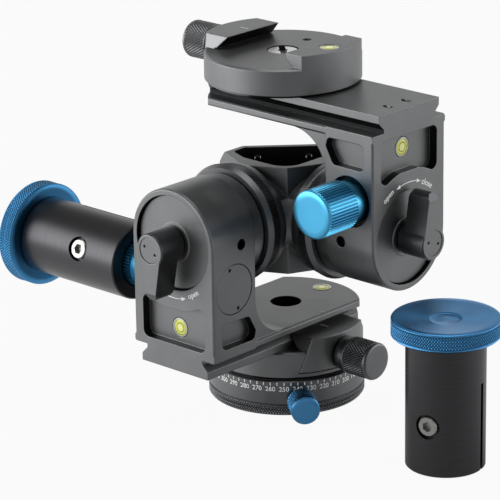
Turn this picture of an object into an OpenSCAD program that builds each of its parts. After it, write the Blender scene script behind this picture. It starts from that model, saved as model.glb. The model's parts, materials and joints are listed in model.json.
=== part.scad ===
/* [Panning base] */
// Radius of the scale ring
base_r = 34; // [32:0.5:40]
// Height of the scale ring
base_h = 15.5; // [15:0.1:20]
// Height of the knurled foot of the ring
foot_h = 5; // [3:0.1:6]
// Radius of the floor plate
plate_r = 27; // [26:0.1:28]
// Thickness of the floor plate
plate_t = 3.6; // [3:0.1:4]
// Radius of the tripod thread
tripod_r = 4; // [3:0.1:5]
// Wall of the threaded bush
bush_wall = 3.6; // [2.5:0.1:4]
// Radius of the spindle flange that the ring holds down
spindle_flange_r = 23.5; // [22.5:0.1:24.5]
// Radius of the spindle where it passes the lip of the ring
spindle_hub_r = 20; // [18:0.1:21]
// Thickness of the lip that holds the spindle
lip_t = 3.6; // [2.5:0.1:4]
// Thrust washer thickness
washer_t = 0.5; // [0.3:0.05:1]
// Direction of the lock knob, from the worm cover side
lock_angle = -37.7; // [-60:0.1:-20]
// Height of the lock knob above the foot
lock_z = 6.5; // [6.4:0.1:7.5]
// Radius of the lock knob
lock_knob_r = 6.2; // [5:0.1:6.4]
// Length of the lock knob
lock_knob_l = 11; // [6:0.1:12]
// Radius of the lock screw
lock_screw_r = 2; // [1.5:0.1:2.4]

/* [Dovetail clamps] */
// Radius of the clamp body
clamp_r = 33.4; // [32:0.1:36]
// Height of the clamp body under the platform
clamp_h = 12.2; // [11.5:0.1:14]
// Height of the jaws above the platform
jaw_h = 5.6; // [5:0.1:6.2]
// Half width of the sliding jaw at its top
jaw_half_top = 15.8; // [14:0.1:17]
// Half width of the sliding jaw at its foot
jaw_half_foot = 20.6; // [18:0.1:22]
// Half length of the fixed jaw
fixed_half = 18.9; // [16:0.1:21]
// Inner face of the sliding jaw below the platform
jaw_seat = 23; // [22.8:0.1:25]
// Depth of the jaw slot below the platform
slot_depth = 9.4; // [8.8:0.1:9.6]
// Height of the clamp screw under the platform
clamp_screw_drop = 3.8; // [3.6:0.1:5]
// Radius of the clamp screw
clamp_screw_r = 2.5; // [2:0.1:3]
// Distance of each guide pin from the clamp screw
pin_offset = 12; // [10:0.1:13]
// Radius of the guide pins
pin_r = 1.5; // [1:0.1:2]
// Length of the clamp screw in the body
clamp_screw_in = 13; // [10:0.5:14]
// Length of the guide pins in the body
pin_in = 10.5; // [8:0.5:12]
// Radius of the bolt head on the pan axis
head_r = 6.7; // [6.2:0.05:6.9]
// Place of the small hole in the platform
stop_hole_at = 18.5; // [16:0.1:20]
// Radius of the clamp knob
clamp_knob_r = 8.2; // [7.5:0.1:8.6]
// Length of the clamp knob
clamp_knob_l = 18.4; // [14:0.1:22]

/* [Dovetail rail] */
// Width of the rail at its face
rail_w = 38; // [36:0.1:40]
// Height of the straight edge of the rail
rail_flat = 3.3; // [3:0.05:3.4]
// Width of the neck behind the rail
neck_w = 31.9; // [31:0.1:34]
// Height of the rail with its neck
rail_h = 7.95; // [7.6:0.05:8.6]

/* [Brackets] */
// Width of a bracket
leg_w = 46; // [45:0.5:50]
// Tilt axis to rail face
arm_drop = 56; // [55:0.1:60]
// Thickness of the arm plate
arm_t = 3.55; // [3:0.05:4.2]
// Pan axis to the outer face of the leg
leg_out = 69.3; // [69:0.1:74]
// Depth of the leg
leg_d = 26; // [25.8:0.1:30]
// Fillet between leg and arm
fillet_r = 18; // [12:0.5:19]
// Radius of the round end of the arm about the pan axis
arm_end_r = 32; // [30:0.1:34]
// Radius of the through hole on the pan axis
arm_hole_r = 6.75; // [6:0.05:7.2]
// Housing collar on the inner side of the leg, length
collar_l = 6.4; // [5:0.1:7]
// Edge break of the bracket
edge = 0.7; // [0.3:0.1:1]
// Radius of the recess for the end cap
recess_r = 20.4; // [19:0.1:21]
// Thickness of the end cap
cap_t = 3; // [2:0.1:3.4]
// Depth of the end cap's face under the outer face
cap_sink = 1.8; // [1:0.1:2.2]
// Radius of the bubble levels
level_r = 4.4; // [3:0.1:5]
// Depth of the pockets in the leg
pocket_t = 3.9; // [2:0.1:4.1]

/* [Worm gear] */
// Teeth of the worm wheel
wheel_teeth = 40; // [36:1:42]
// Gear module
gear_module = 0.75; // [0.7:0.01:0.78]
// Pitch radius of the worm
worm_pitch_r = 3.4; // [3.2:0.05:3.8]
// Width of the wheel rim
wheel_w = 6; // [4:0.1:7]
// Clearance on each tooth flank
flank_gap = 0.14; // [0.1:0.01:0.2]
// Radius of the worm shaft
worm_shaft_r = 2.4; // [2:0.05:2.5]
// Length of the worm thread
worm_l = 15; // [10:0.5:17]
// Outer face of the leg to the worm axis
worm_in = 12.6; // [12.4:0.05:13]
// Radius of the worm bushes
bush_r = 6.6; // [5.5:0.1:6.8]
// Radius of the worm cover
cover_r = 10.9; // [9:0.1:11]
// Thickness of the worm cover
cover_t = 3.4; // [2.5:0.1:3.8]

/* [Tilt spindles] */
// Pan axis to each mounting face of the centre block
mount_face = 25.3; // [25:0.1:26]
// Radius of the spindle's journal
journal_r = 10; // [8:0.1:11]
// Radius of the wheel seat
seat_r = 6; // [5:0.1:7]
// Radius of the spindle flange
flange_r = 17; // [16:0.1:18]
// Thickness of the spindle flange
flange_t = 4; // [3:0.1:5]
// Radius of the circle on which the flange screws lie
bolt_circle_r = 14; // [13.6:0.1:14.2]
// Radius of the spindle's end in the lever
stud_r = 4; // [3:0.1:4.5]
// Largest radius of the scale ring
scale_r = 25.5; // [24.5:0.1:26]

/* [Levers and knobs] */
// Radius of the lever's barrel
barrel_r = 7.15; // [6.5:0.05:8]
// Outer face of the leg to the lever's face
lever_out = 13.3; // [12:0.1:15]
// Length of the lever from the axis to its tip
lever_l = 21.8; // [18:0.1:22.5]
// Radius of the lever's tip
lever_tip_r = 3; // [2.5:0.1:4]
// Thickness of the lever's blade
blade_t = 11; // [8:0.1:11.5]
// Radius of the fluted drive knob
drive_r = 10.3; // [9:0.1:10.6]
// Number of flutes
drive_flutes = 48; // [36:1:60]
// Side face of the leg to the knob's face
drive_out = 23.5; // [18:0.1:26]
// Length of the fluted part
flute_l = 18; // [12:0.1:19]
// Radius of the smooth neck
drive_neck_r = 9.2; // [8:0.1:10]

/* [Centre block] */
// Half height of the block
block_half = 23.4; // [22.5:0.1:24]
// Pan axis to the front edge of the block along its diagonal
block_front = 24.7; // [24:0.1:26]
// Pan axis to the back face along its diagonal
block_back = 9.9; // [9.5:0.1:11]
// Length of the block beyond the pan axis on its back ends
block_end = 24.5; // [24:0.1:26]
// Mounting wall thickness
block_wall = 7.5; // [7.4:0.1:8.5]
// End wall thickness
block_end_wall = 8; // [7.5:0.1:9]
// Back cover thickness
back_t = 2.5; // [2:0.1:3]
// Floor of the pocket
block_floor = 6; // [4:0.1:8]

/* [Handles] */
// Radius of the handle tube
tube_r = 16.5; // [15.5:0.1:18]
// Length of the handle tube
tube_l = 56.1; // [45:0.1:65]
// Depth of the socket for the drive knob
socket_l = 26; // [22:0.5:30]
// Radius of the handle disc
disc_r = 22.5; // [20:0.1:23.5]
// Thickness of the handle disc
disc_t = 7.8; // [6:0.1:9]
// Width of the slit
slit_w = 1.9; // [1:0.1:3]
// Length of the slit
slit_l = 38; // [28:0.5:42]
// Open end to the set screw
set_screw_at = 21.5; // [18:0.1:24]
// Radius of the set screw's head
set_head_r = 4.2; // [3.5:0.1:4.8]
// Gap between the leg and the fitted handle
handle_gap = 8.8; // [6:0.1:12]
// Place of the second handle to the side of the head
spare_x = 106.3; // [106.2:0.1:120]
// Place of the second handle towards the front of the head
spare_y = -20.8; // [-26:0.1:-16]

/* [Fits] */
// Running clearance of turning parts, on the radius
run_gap = 0.05; // [0.03:0.01:0.08]
// Clearance of parts that are fixed in one another
seat_gap = 0.03; // [0.02:0.01:0.05]
// Clearance between parts that pass each other
pass_gap = 0.3; // [0.2:0.05:0.4]

/* [Hidden] */
$fn = 64;
tiny = 0.01;
reach = 200;
platform_z = base_h + washer_t + clamp_h;
axis_z = platform_z + arm_drop;
top_z = axis_z + arm_drop;
top_platform_z = top_z + clamp_h;
groove_drop = arm_drop - rail_h;                 // tilt axis to the underside of the arm plate
plate_drop = groove_drop - arm_t;                // tilt axis to its inner face
leg_in = leg_out - leg_d;
leg_half = leg_w / 2;
rail_half = rail_w / 2;
neck_half = neck_w / 2;
bevel = rail_half - neck_half;
jaw_line = rail_half + rail_flat + run_gap;      // x + z on the slanting faces of both jaws
wheel_pitch_r = wheel_teeth * gear_module / 2;
tooth_pitch = PI * gear_module;
axes_apart = wheel_pitch_r + worm_pitch_r;
worm_y = -(leg_out - worm_in);
pressure = 20;
cap_front = leg_out - cap_sink;
cap_back = cap_front - cap_t;
collar_face = leg_in - collar_l;
wheel_hub_half = wheel_w / 2 + 1;
wheel_hub_r = seat_r + 3;
cavity_r = wheel_pitch_r + gear_module + 1.5;
cavity_in = -worm_y - wheel_hub_half - 1.6;
seat_x = leg_half - cover_t - 0.6;               // bottom of the two large worm bores
bush_in = 11.8;                                  // inner ends of the bushes, clear of the wheel's rim
nut_t = 2.8;
center_screw_r = 4.9;                            // bolt between the top clamp and the arm
plate_bolts_r = plate_r - 4;                     // circle of the screws in the floor plate
hub_bore_r = tripod_r + bush_wall + 3 + pass_gap;
hub_bolts_r = (spindle_hub_r + hub_bore_r) / 2;  // circle of the screws between spindle and clamp
spindle_low = plate_t + 0.6;
cap_pin_r = 0.65;
lever_face = leg_out + lever_out;
blade_back = lever_face - blade_t;
barrel_back = leg_out + 0.2;
bolt_hole_r = 1.5;
bolt_head_r = 2.4;
bolt_places = [45, 135, 225, 315];
lip_h = jaw_h * 0.66;                            // height of the fixed jaw's slanting face
level_at = (jaw_line + clamp_r - lip_h) / 2;
handle_x = leg_half + handle_gap;
lock_knob_at = base_r + 0.9;                     // back of the lock knob, from the pan axis

function inv(a) = tan(a) - a * PI / 180;

// ---- helpers: turned parts and drilled holes along the three axes ----
module along_y() { rotate([-90, 0, 0]) children(); }
module along_x() { rotate([0, 90, 0]) children(); }
module y_rod(r, y0, y1) { translate([0, min(y0, y1), 0]) along_y() cylinder(r = r, h = abs(y1 - y0)); }
module x_rod(r, x0, x1) { translate([min(x0, x1), 0, 0]) along_x() cylinder(r = r, h = abs(x1 - x0)); }
module z_rod(r, z0, z1) { translate([0, 0, z0]) cylinder(r = r, h = z1 - z0); }
module y_turn(profile) { along_y() rotate_extrude() polygon(profile); }
module x_turn(profile) { along_x() rotate_extrude() polygon(profile); }
module z_turn(profile) { rotate_extrude() polygon(profile); }
module span(lo, hi) { translate(lo) cube(hi - lo); }

// ---- places: the upper unit is the lower one mirrored and turned a quarter ----
module at_lower() { translate([0, 0, axis_z]) children(); }
module at_upper() { translate([0, 0, axis_z]) rotate([0, 0, 90]) mirror([0, 0, 1]) children(); }
module at_base_clamp() { translate([0, 0, platform_z]) children(); }
module at_top_clamp() { translate([0, 0, top_platform_z]) rotate([0, 0, 180]) children(); }
module at_lock() { translate([0, 0, lock_z]) rotate([0, 0, lock_angle]) children(); }
module at_handle() { translate([-handle_x, worm_y, axis_z - axes_apart]) rotate([0, -90, 0]) children(); }
module at_spare() { translate([spare_x, spare_y, 0]) children(); }

// ================= panning base =================
module base_ring() {
  bore_r = spindle_flange_r + 0.5;
  color("dimgray") difference() {
    z_turn([[plate_r + seat_gap, 0], [base_r - 0.6, 0], [base_r, 0.6], [base_r, foot_h - 0.4],
      [base_r - 0.4, foot_h], [base_r, foot_h + 0.4], [base_r, base_h - 0.4], [base_r - 0.4, base_h],
      [spindle_hub_r + run_gap, base_h], [spindle_hub_r + run_gap, base_h - lip_t],
      [bore_r, base_h - lip_t], [bore_r, plate_t], [plate_r + seat_gap, plate_t]]);
    at_lock() x_rod(lock_screw_r + run_gap, 0, base_r + 1);
  }
}

module base_plate() {
  color("darkslategray") difference() {
    union() {
      z_rod(plate_r, 0, plate_t);
      z_rod(tripod_r + bush_wall + 3, 0, base_h - lip_t);
    }
    z_rod(tripod_r + bush_wall + seat_gap, -1, base_h);
    for (a = [0 : 90 : 270]) rotate([0, 0, a + 45]) translate([plate_bolts_r, 0, -tiny]) {
      z_rod(1.6, -1, plate_t + 1);
      cylinder(r1 = 3.1, r2 = 1.6, h = 1.7);
    }
  }
}

module base_plate_screws() {
  color("silver") for (a = [0 : 90 : 270]) rotate([0, 0, a + 45]) translate([plate_bolts_r, 0, 0])
    difference() {
      union() {
        cylinder(r1 = 3, r2 = 1.5, h = 1.6);
        z_rod(1.5, 0.5, plate_t);
      }
      translate([0, 0, -tiny]) cylinder(r = 1, h = 0.9, $fn = 6);
    }
}

module tripod_bush() {
  color("silver") difference() {
    z_rod(tripod_r + bush_wall, 0, base_h - lip_t);
    z_rod(tripod_r, -1, base_h);
  }
}

module pan_lock_knob() {
  x0 = lock_knob_at;
  color("steelblue") at_lock() difference() {
    x_turn([[0, base_r + pass_gap], [lock_screw_r + 1.6, base_r + pass_gap], [lock_screw_r + 1.6, x0],
      [lock_knob_r - 0.6, x0], [lock_knob_r, x0 + 0.6], [lock_knob_r, x0 + lock_knob_l - 0.7],
      [lock_knob_r - 0.7, x0 + lock_knob_l], [0, x0 + lock_knob_l]]);
    x_rod(lock_screw_r + seat_gap, 0, x0 + lock_knob_l / 2);
  }
}

module pan_lock_screw() {
  color("silver") at_lock() x_rod(lock_screw_r, spindle_flange_r + 0.8, lock_knob_at + lock_knob_l / 2);
}

module pan_lock_shoe() {
  color("goldenrod") at_lock() x_rod(lock_screw_r, spindle_flange_r - 0.6, spindle_flange_r + 0.7);
}

module pan_washer() {
  color("black") difference() {
    z_rod(base_r - 1.4, base_h + 0.03, base_h + washer_t);
    z_rod(spindle_hub_r + pass_gap, base_h - 1, base_h + washer_t + 1);
  }
}

// Turned spindle: a flange under the lip of the ring, a band for the lock shoe, and a hub in the lip
module pan_spindle() {
  band = lock_z + lock_screw_r + 0.3;
  color("silver") difference() {
    z_turn([[hub_bore_r, spindle_low], [spindle_flange_r - 1, spindle_low], [spindle_flange_r - 1, band],
      [spindle_flange_r, band + 0.6], [spindle_flange_r, base_h - lip_t - pass_gap],
      [spindle_hub_r, base_h - lip_t - pass_gap], [spindle_hub_r, base_h + washer_t],
      [hub_bore_r, base_h + washer_t]]);
    for (a = [0 : 90 : 270]) rotate([0, 0, a]) translate([hub_bolts_r, 0, 0]) {
      z_rod(1.55, 0, base_h * 2);
      z_rod(2.8, 0, spindle_low + 3.1);
    }
  }
}

module pan_spindle_screws() {
  color("dimgray") for (a = [0 : 90 : 270]) rotate([0, 0, a]) translate([hub_bolts_r, 0, 0])
    difference() {
      union() {
        z_rod(2.7, spindle_low + 0.1, spindle_low + 3.1);
        z_rod(1.5, spindle_low + 3, base_h + washer_t + 5);
      }
      translate([0, 0, spindle_low]) cylinder(r = 1.4, h = 1.6, $fn = 6);
    }
}

// ================= dovetail clamp, platform at z = 0 and sliding jaw at +x =================
module jaw_trapezoid(grow, low, high) {
  slope = (jaw_half_foot - jaw_half_top) / (slot_depth + jaw_h);
  half_at = function(z) jaw_half_top + slope * (jaw_h - z) + grow;
  along_x() linear_extrude(2 * clamp_r) polygon([[-low, -half_at(low)], [-low, half_at(low)],
    [-high, half_at(high)], [-high, -half_at(high)]]);
}

module clamp_body(screw_hole) {
  color("dimgray") difference() {
    union() {
      z_turn([[0, -clamp_h], [clamp_r - 1, -clamp_h], [clamp_r, 1 - clamp_h], [clamp_r, -0.8],
        [clamp_r - 0.8, 0], [0, 0]]);
      // fixed jaw: the bevel up to its lip, then straight
      intersection() {
        z_rod(clamp_r, -1, jaw_h);
        rotate([90, 0, 0]) linear_extrude(2 * fixed_half, center = true)
          polygon([[-clamp_r - 1, -0.9], [-jaw_line, -0.9], [-jaw_line, 0], [lip_h - jaw_line, lip_h],
            [lip_h - jaw_line, jaw_h], [-clamp_r - 1, jaw_h]]);
      }
    }
    // slot of the sliding jaw
    translate([jaw_seat - pass_gap, 0, 0]) jaw_trapezoid(pass_gap, -slot_depth - pass_gap, jaw_h + 1);
    translate([0, 0, -clamp_screw_drop]) {
      x_rod(clamp_screw_r + run_gap, jaw_seat - clamp_screw_in - 1, clamp_r);
      for (s = [-1, 1]) translate([0, s * pin_offset, 0])
        x_rod(pin_r + seat_gap, jaw_seat - pin_in - 0.5, clamp_r);
    }
    // level in the fixed jaw
    translate([-level_at, 0, jaw_h - 2.4]) z_rod(level_r + seat_gap, 0, 5);
    if (screw_hole) {
      z_rod(center_screw_r + 0.1, -clamp_h - 1, 1);
      z_rod(head_r + 0.1, -3.4, 1);
      translate([2.9, -stop_hole_at, 0]) z_rod(2, -5, 1);
    } else {
      // threads of the spindle screws
      for (a = [0 : 90 : 270]) rotate([0, 0, a])
        translate([hub_bolts_r, 0, 0]) z_rod(1.5 + seat_gap, -clamp_h - 1, -clamp_h + 6);
    }
  }
}

module clamp_pins() {
  color("silver") translate([0, 0, -clamp_screw_drop]) for (s = [-1, 1])
    translate([0, s * pin_offset, 0]) x_rod(pin_r, jaw_seat - pin_in, jaw_seat + 5);
}

module clamp_jaw() {
  color("dimgray") difference() {
    intersection() {
      z_rod(clamp_r, -slot_depth, jaw_h);
      jaw_trapezoid(0, -slot_depth, jaw_h);
      rotate([90, 0, 0]) linear_extrude(4 * clamp_r, center = true)
        polygon([[jaw_line - jaw_h, jaw_h], [jaw_line - pass_gap, pass_gap], [jaw_seat, pass_gap],
          [jaw_seat, -slot_depth], [clamp_r + 1, -slot_depth], [clamp_r + 1, jaw_h]]);
    }
    translate([0, 0, -clamp_screw_drop]) {
      x_rod(clamp_screw_r + run_gap, 0, clamp_r + 1);
      for (s = [-1, 1]) translate([0, s * pin_offset, 0]) x_rod(pin_r + run_gap, 0, jaw_seat + 6);
    }
  }
}

module clamp_screw() {
  color("silver") translate([0, 0, -clamp_screw_drop])
    x_rod(clamp_screw_r, jaw_seat - clamp_screw_in, clamp_r + clamp_knob_l - 6);
}

module clamp_knob() {
  x0 = clamp_r + 0.4;
  x1 = clamp_r + clamp_knob_l;
  neck = clamp_knob_r - 0.8;
  color("black") translate([0, 0, -clamp_screw_drop]) difference() {
    x_turn([[0, x0], [neck - 0.5, x0], [neck, x0 + 0.5], [neck, x0 + 4.4], [clamp_knob_r, x0 + 4.8],
      [clamp_knob_r, x1 - 1.5], [clamp_knob_r - 1.5, x1], [0, x1]]);
    x_rod(clamp_screw_r + seat_gap, 0, x1 - 6);
  }
}

module base_clamp_body() { at_base_clamp() clamp_body(false); }
module base_clamp_pins() { at_base_clamp() clamp_pins(); }
module base_clamp_jaw() { at_base_clamp() clamp_jaw(); }
module base_clamp_screw() { at_base_clamp() clamp_screw(); }
module base_clamp_knob() { at_base_clamp() clamp_knob(); }
module top_clamp_body() { at_top_clamp() clamp_body(true); }
module top_clamp_pins() { at_top_clamp() clamp_pins(); }
module top_clamp_jaw() { at_top_clamp() clamp_jaw(); }
module top_clamp_screw() { at_top_clamp() clamp_screw(); }
module top_clamp_knob() { at_top_clamp() clamp_knob(); }

module level_vial(h) {
  color("yellowgreen") z_turn([[0, 0], [level_r, 0], [level_r, h - 0.5], [level_r - 0.5, h], [0, h]]);
}

module top_level() {
  at_top_clamp() translate([-level_at, 0, jaw_h - 2.4]) level_vial(2.2);
}

// Bolt that holds the top clamp to the arm, slotted for a coin, with a small socket in its middle
module top_center_screw() {
  color("silver") translate([0, 0, top_platform_z]) difference() {
    union() {
      z_turn([[0, -3.3], [head_r, -3.3], [head_r, -0.7], [head_r - 0.5, -0.3], [0, -0.3]]);
      z_rod(center_screw_r, -clamp_h - 9, -3);
    }
    rotate([0, 0, -42.5]) span([-head_r - 1, -1.4, -2], [head_r + 1, 1.4, 1]);
    translate([0, 0, -3]) cylinder(r = 2.4, h = 4, $fn = 6);
  }
}

module top_clamp_nut() {
  color("dimgray") difference() {
    union() {
      z_rod(arm_hole_r - 2 * seat_gap, axis_z + plate_drop - 0.1, top_z);
      z_rod(arm_hole_r + 2.6, axis_z + plate_drop - 2, axis_z + plate_drop);
    }
    z_rod(center_screw_r + seat_gap, 0, reach);
  }
}

// ================= bracket, drawn about its tilt axis: leg at -y, arm below =================
module leg_solid() {
  o = -leg_out;
  i = -leg_in;
  w = leg_half;
  translate([0, 0, -groove_drop]) linear_extrude(groove_drop)
    polygon([[-w, i - edge], [-w, o + edge], [edge - w, o], [w - edge, o], [w, o + edge], [w, i - edge],
      [w - edge, i], [edge - w, i]]);
  y_turn([[0, o], [w - edge, o], [w, o + edge], [w, i - edge], [w - edge, i], [0, i]]);
  // collar of the housing
  y_turn([[0, i - 1], [w - edge, i - 1], [w - edge, -collar_face - 0.8], [w - edge - 0.6, -collar_face],
    [0, -collar_face]]);
}

module arm_solid() {
  intersection() {
    translate([0, 0, -arm_drop - 1]) linear_extrude(arm_drop - plate_drop + fillet_r + 2) union() {
      translate([-leg_half, -leg_out]) square([leg_w, leg_out]);
      intersection() {
        circle(arm_end_r);
        translate([-leg_half, -leg_half]) square([leg_w, reach]);
      }
    }
    union() {
      rotate([90, 0, 0]) linear_extrude(2 * leg_out, center = true)
        polygon([[-rail_half, -arm_drop], [rail_half, -arm_drop], [rail_half, rail_flat - arm_drop],
          [neck_half, rail_flat + bevel - arm_drop], [neck_half, -groove_drop],
          [leg_half - edge, -groove_drop], [leg_half, edge - groove_drop], [leg_half, -plate_drop - edge],
          [leg_half - edge, -plate_drop], [edge - leg_half, -plate_drop], [-leg_half, -plate_drop - edge],
          [-leg_half, edge - groove_drop], [edge - leg_half, -groove_drop], [-neck_half, -groove_drop],
          [-neck_half, rail_flat + bevel - arm_drop], [-rail_half, rail_flat - arm_drop]]);
      // fillet between leg and arm
      difference() {
        span([edge - leg_half, -leg_in - 0.5, -plate_drop - 0.5],
          [leg_half - edge, fillet_r - leg_in, fillet_r - plate_drop]);
        translate([0, fillet_r - leg_in, fillet_r - plate_drop]) x_rod(fillet_r, -leg_w, leg_w);
      }
    }
  }
}

// Pocket in the outer face: round corners, and an arc about the tilt axis on its near side
module face_pocket() {
  half = leg_half - 5.2;
  far = plate_drop + 0.2;
  near = recess_r + 9;
  corner = 3;
  inner = half - corner;
  turn_z = sqrt(pow(near + corner, 2) - pow(inner, 2));
  turn_x = inner * near / (near + corner);
  y0 = -leg_out - 1;
  y1 = pocket_t - leg_out;
  span([-half, y0, corner - far], [half, y1, -turn_z]);
  span([-inner, y0, -far], [inner, y1, -turn_z]);
  for (s = [-1, 1], z = [corner - far, -turn_z]) translate([s * inner, 0, z]) y_rod(corner, y0, y1);
  difference() {
    span([-turn_x, y0, 1 - far], [turn_x, y1, -recess_r]);
    y_rod(near, y0 - 1, y1 + 1);
  }
}

// Polygon with each corner cut back and a circle of its own radius set in
module round_polygon(points, radii) {
  n = len(points);
  unit = function(v) v / norm(v);
  corners = [for (i = [0 : n - 1]) let (p = points[i], a = unit(points[(i + n - 1) % n] - p),
    b = unit(points[(i + 1) % n] - p), half_turn = acos(a * b) / 2)
    [p + a * radii[i] / tan(half_turn), p + unit(a + b) * radii[i] / sin(half_turn),
      p + b * radii[i] / tan(half_turn)]];
  polygon([for (c = corners) each [c[0], c[2]]]);
  for (i = [0 : n - 1]) translate(corners[i][1]) circle(radii[i]);
}

// Pocket in each side face: its inner upper corner is cut slanting
module side_pocket() {
  front = pocket_t + 1.1 - leg_out;
  rotate([0, 90, 0]) translate([0, 0, leg_half - pocket_t]) linear_extrude(pocket_t + 1)
    round_polygon([[plate_drop - 12.3, front], [plate_drop - 12, -leg_in - 4.6],
      [plate_drop - 4.6, -leg_in - 0.6], [plate_drop - 0.9, -leg_in - 1.8], [plate_drop - 0.9, front]],
      [2, 2.5, 2, 2, 2.5]);
}

module bracket() {
  difference() {
    union() {
      leg_solid();
      arm_solid();
    }
    // recess, gear chamber and spindle bore
    y_rod(recess_r, -leg_out - 1, -cap_back);
    y_rod(cavity_r, -cap_back - 0.01, -cavity_in);
    y_rod(journal_r + run_gap, -cavity_in - 1, -collar_face + 1);
    // worm bores
    translate([0, worm_y, -axes_apart]) {
      x_rod(worm_pitch_r + gear_module + 0.5, -bush_in - 1, bush_in + 1);
      x_rod(bush_r + seat_gap, bush_in, leg_w);
      x_rod(bush_r + seat_gap, -leg_w, -bush_in);
      x_rod(cover_r + seat_gap, seat_x, leg_w);
      x_rod(cover_r, -leg_w, -seat_x);
    }
    face_pocket();
    side_pocket();
    mirror([1, 0, 0]) side_pocket();
    // blind holes in the side faces
    translate([0, -leg_in - 8.6, 0]) for (s = [-1, 1]) x_rod(2.4, s * (leg_half - 3.2), s * leg_w);
    // level on the pocket floor
    translate([0, 0, -plate_drop + 6.4]) y_rod(level_r + seat_gap, -leg_out, pocket_t + 2 - leg_out);
    // hole on the pan axis, level in the arm, slanted stop screw holes in the rail face
    z_rod(arm_hole_r, -arm_drop - 1, -plate_drop + 1);
    translate([0, arm_end_r - 8.4, 0]) z_rod(level_r + seat_gap, -plate_drop - 2.2, -plate_drop + 1);
    for (s = [-1, 1]) translate([s * 5.8, 7.6 - leg_out, -arm_drop]) rotate([-68, 0, 0])
      translate([0, 0, -4]) cylinder(r = 1.5, h = 6);
  }
}

module bracket_levels(count) {
  translate([0, pocket_t + 1.9 - leg_out, -plate_drop + 6.4]) rotate([90, 0, 0]) level_vial(2);
  if (count == 2) translate([0, arm_end_r - 8.4, -plate_drop - 2.1]) level_vial(2.1);
}

// Turned cap with a raised hub
module end_cap() {
  color("gray") difference() {
    y_turn([[0, -cap_back], [recess_r - seat_gap, -cap_back], [recess_r - seat_gap, -cap_front + 0.5],
      [recess_r - 0.5, -cap_front], [8.5, -cap_front], [8.3, -cap_front - 0.4], [0, -cap_front - 0.4]]);
    y_rod(stud_r + 0.3, -leg_out, -cap_back + 1);
  }
}

// Lever: a barrel on the spindle's end and a tapering blade with a round tip
module lever() {
  tip_at = lever_l - lever_tip_r;
  color("dimgray") difference() {
    union() {
      y_turn([[0, -cap_front - 0.7], [barrel_r - 1, -cap_front - 0.7], [barrel_r - 1, -barrel_back],
        [barrel_r, -barrel_back], [barrel_r, 0.5 - lever_face], [barrel_r - 0.5, -lever_face],
        [0, -lever_face]]);
      intersection() {
        translate([0, -blade_back, 0]) rotate([90, 0, 0]) linear_extrude(blade_t) union() {
          polygon([[1 - barrel_r, -1], [barrel_r - 1, -1], [lever_tip_r, -tip_at], [-lever_tip_r, -tip_at]]);
          translate([0, -tip_at]) circle(lever_tip_r);
        }
        // faces of the blade are broken towards the tip
        rotate([0, -90, 0]) linear_extrude(4 * barrel_r, center = true)
          polygon([[1, -lever_face], [-tip_at, -lever_face], [-lever_l, 1.4 - lever_face],
            [-lever_l, -blade_back - 1.2], [-tip_at, -blade_back], [1, -blade_back]]);
      }
    }
    y_rod(stud_r + run_gap, -lever_face + 4.6, 0);
    y_rod(barrel_r - 1.6, -lever_face - 1, -lever_face + 1.9);
  }
}

module lever_cap(turn) {
  color("gray") difference() {
    y_rod(barrel_r - 1.6 - seat_gap, -lever_face + 0.25, -lever_face + 1.85);
    for (s = [-1, 1]) rotate([0, turn, 0]) translate([s * 3.2, 0, 0])
      y_rod(cap_pin_r, -lever_face - 1, -lever_face + 1.2);
  }
}

// ================= worm gear =================
// Involute outline of the wheel, with a tooth space at the foot where the worm sits
function tooth_half(r) = (tooth_pitch / 2 - flank_gap) / (2 * wheel_pitch_r) * 180 / PI
  + (inv(pressure) - inv(acos(min(1, wheel_pitch_r * cos(pressure) / r)))) * 180 / PI;
function wheel_outline() = let (radii = [wheel_pitch_r - 1.18 * gear_module, wheel_pitch_r,
    wheel_pitch_r + gear_module], pitch = 360 / wheel_teeth)
  [for (k = [0 : wheel_teeth - 1]) let (a = 90 + (k + 0.5) * pitch)
    each concat([for (r = radii) r * [cos(a - tooth_half(r)), sin(a - tooth_half(r))]],
      [for (i = [2, 1, 0]) let (r = radii[i]) r * [cos(a + tooth_half(r)), sin(a + tooth_half(r))]])];

module worm_wheel() {
  lead_twist = 360 / (2 * PI * worm_pitch_r) / wheel_teeth * wheel_w;
  rim_r = wheel_pitch_r - 1.18 * gear_module - 1.6;
  color("goldenrod") translate([0, worm_y, 0]) {
    along_y() rotate([0, 0, -lead_twist / 2]) translate([0, 0, -wheel_w / 2])
      linear_extrude(wheel_w, twist = -lead_twist, slices = 2) difference() {
        polygon(wheel_outline());
        circle(rim_r);
      }
    difference() {
      union() {
        y_rod(rim_r + 0.4, 0.9 - wheel_w / 2, wheel_w / 2 - 0.9);
        y_rod(wheel_hub_r, -wheel_hub_half, wheel_hub_half);
      }
      y_rod(seat_r + seat_gap, -wheel_w, wheel_w);
    }
  }
}

// Worm thread: a trapezoid section carried along the helix x = pitch * turn
function thread_half(r) = tooth_pitch / 4 - flank_gap / 2 - (r - worm_pitch_r) * tan(pressure);
module worm_thread(steps = 24) {
  foot = worm_shaft_r - 0.25;
  crest = worm_pitch_r + gear_module;
  rows = floor((worm_l / tooth_pitch - 0.5) * steps);
  pts = [for (i = [0 : rows]) let (a = 360 * (i - rows / 2) / steps, x = tooth_pitch * a / 360)
    for (p = [[foot, -thread_half(foot)], [crest, -thread_half(crest)], [crest, thread_half(crest)],
      [foot, thread_half(foot)]]) [x + p[1], -p[0] * sin(a), p[0] * cos(a)]];
  quads = [for (i = [0 : rows - 1], k = [0 : 3]) let (m = (k + 1) % 4)
    [4 * i + k, 4 * i + m, 4 * i + 4 + m, 4 * i + 4 + k]];
  faces = concat([[3, 2, 1, 0]], [for (q = quads) each [[q[0], q[1], q[2]], [q[0], q[2], q[3]]]],
    [[for (k = [0 : 3]) 4 * rows + k]]);
  polyhedron(pts, faces, convexity = 10);
}

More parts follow.
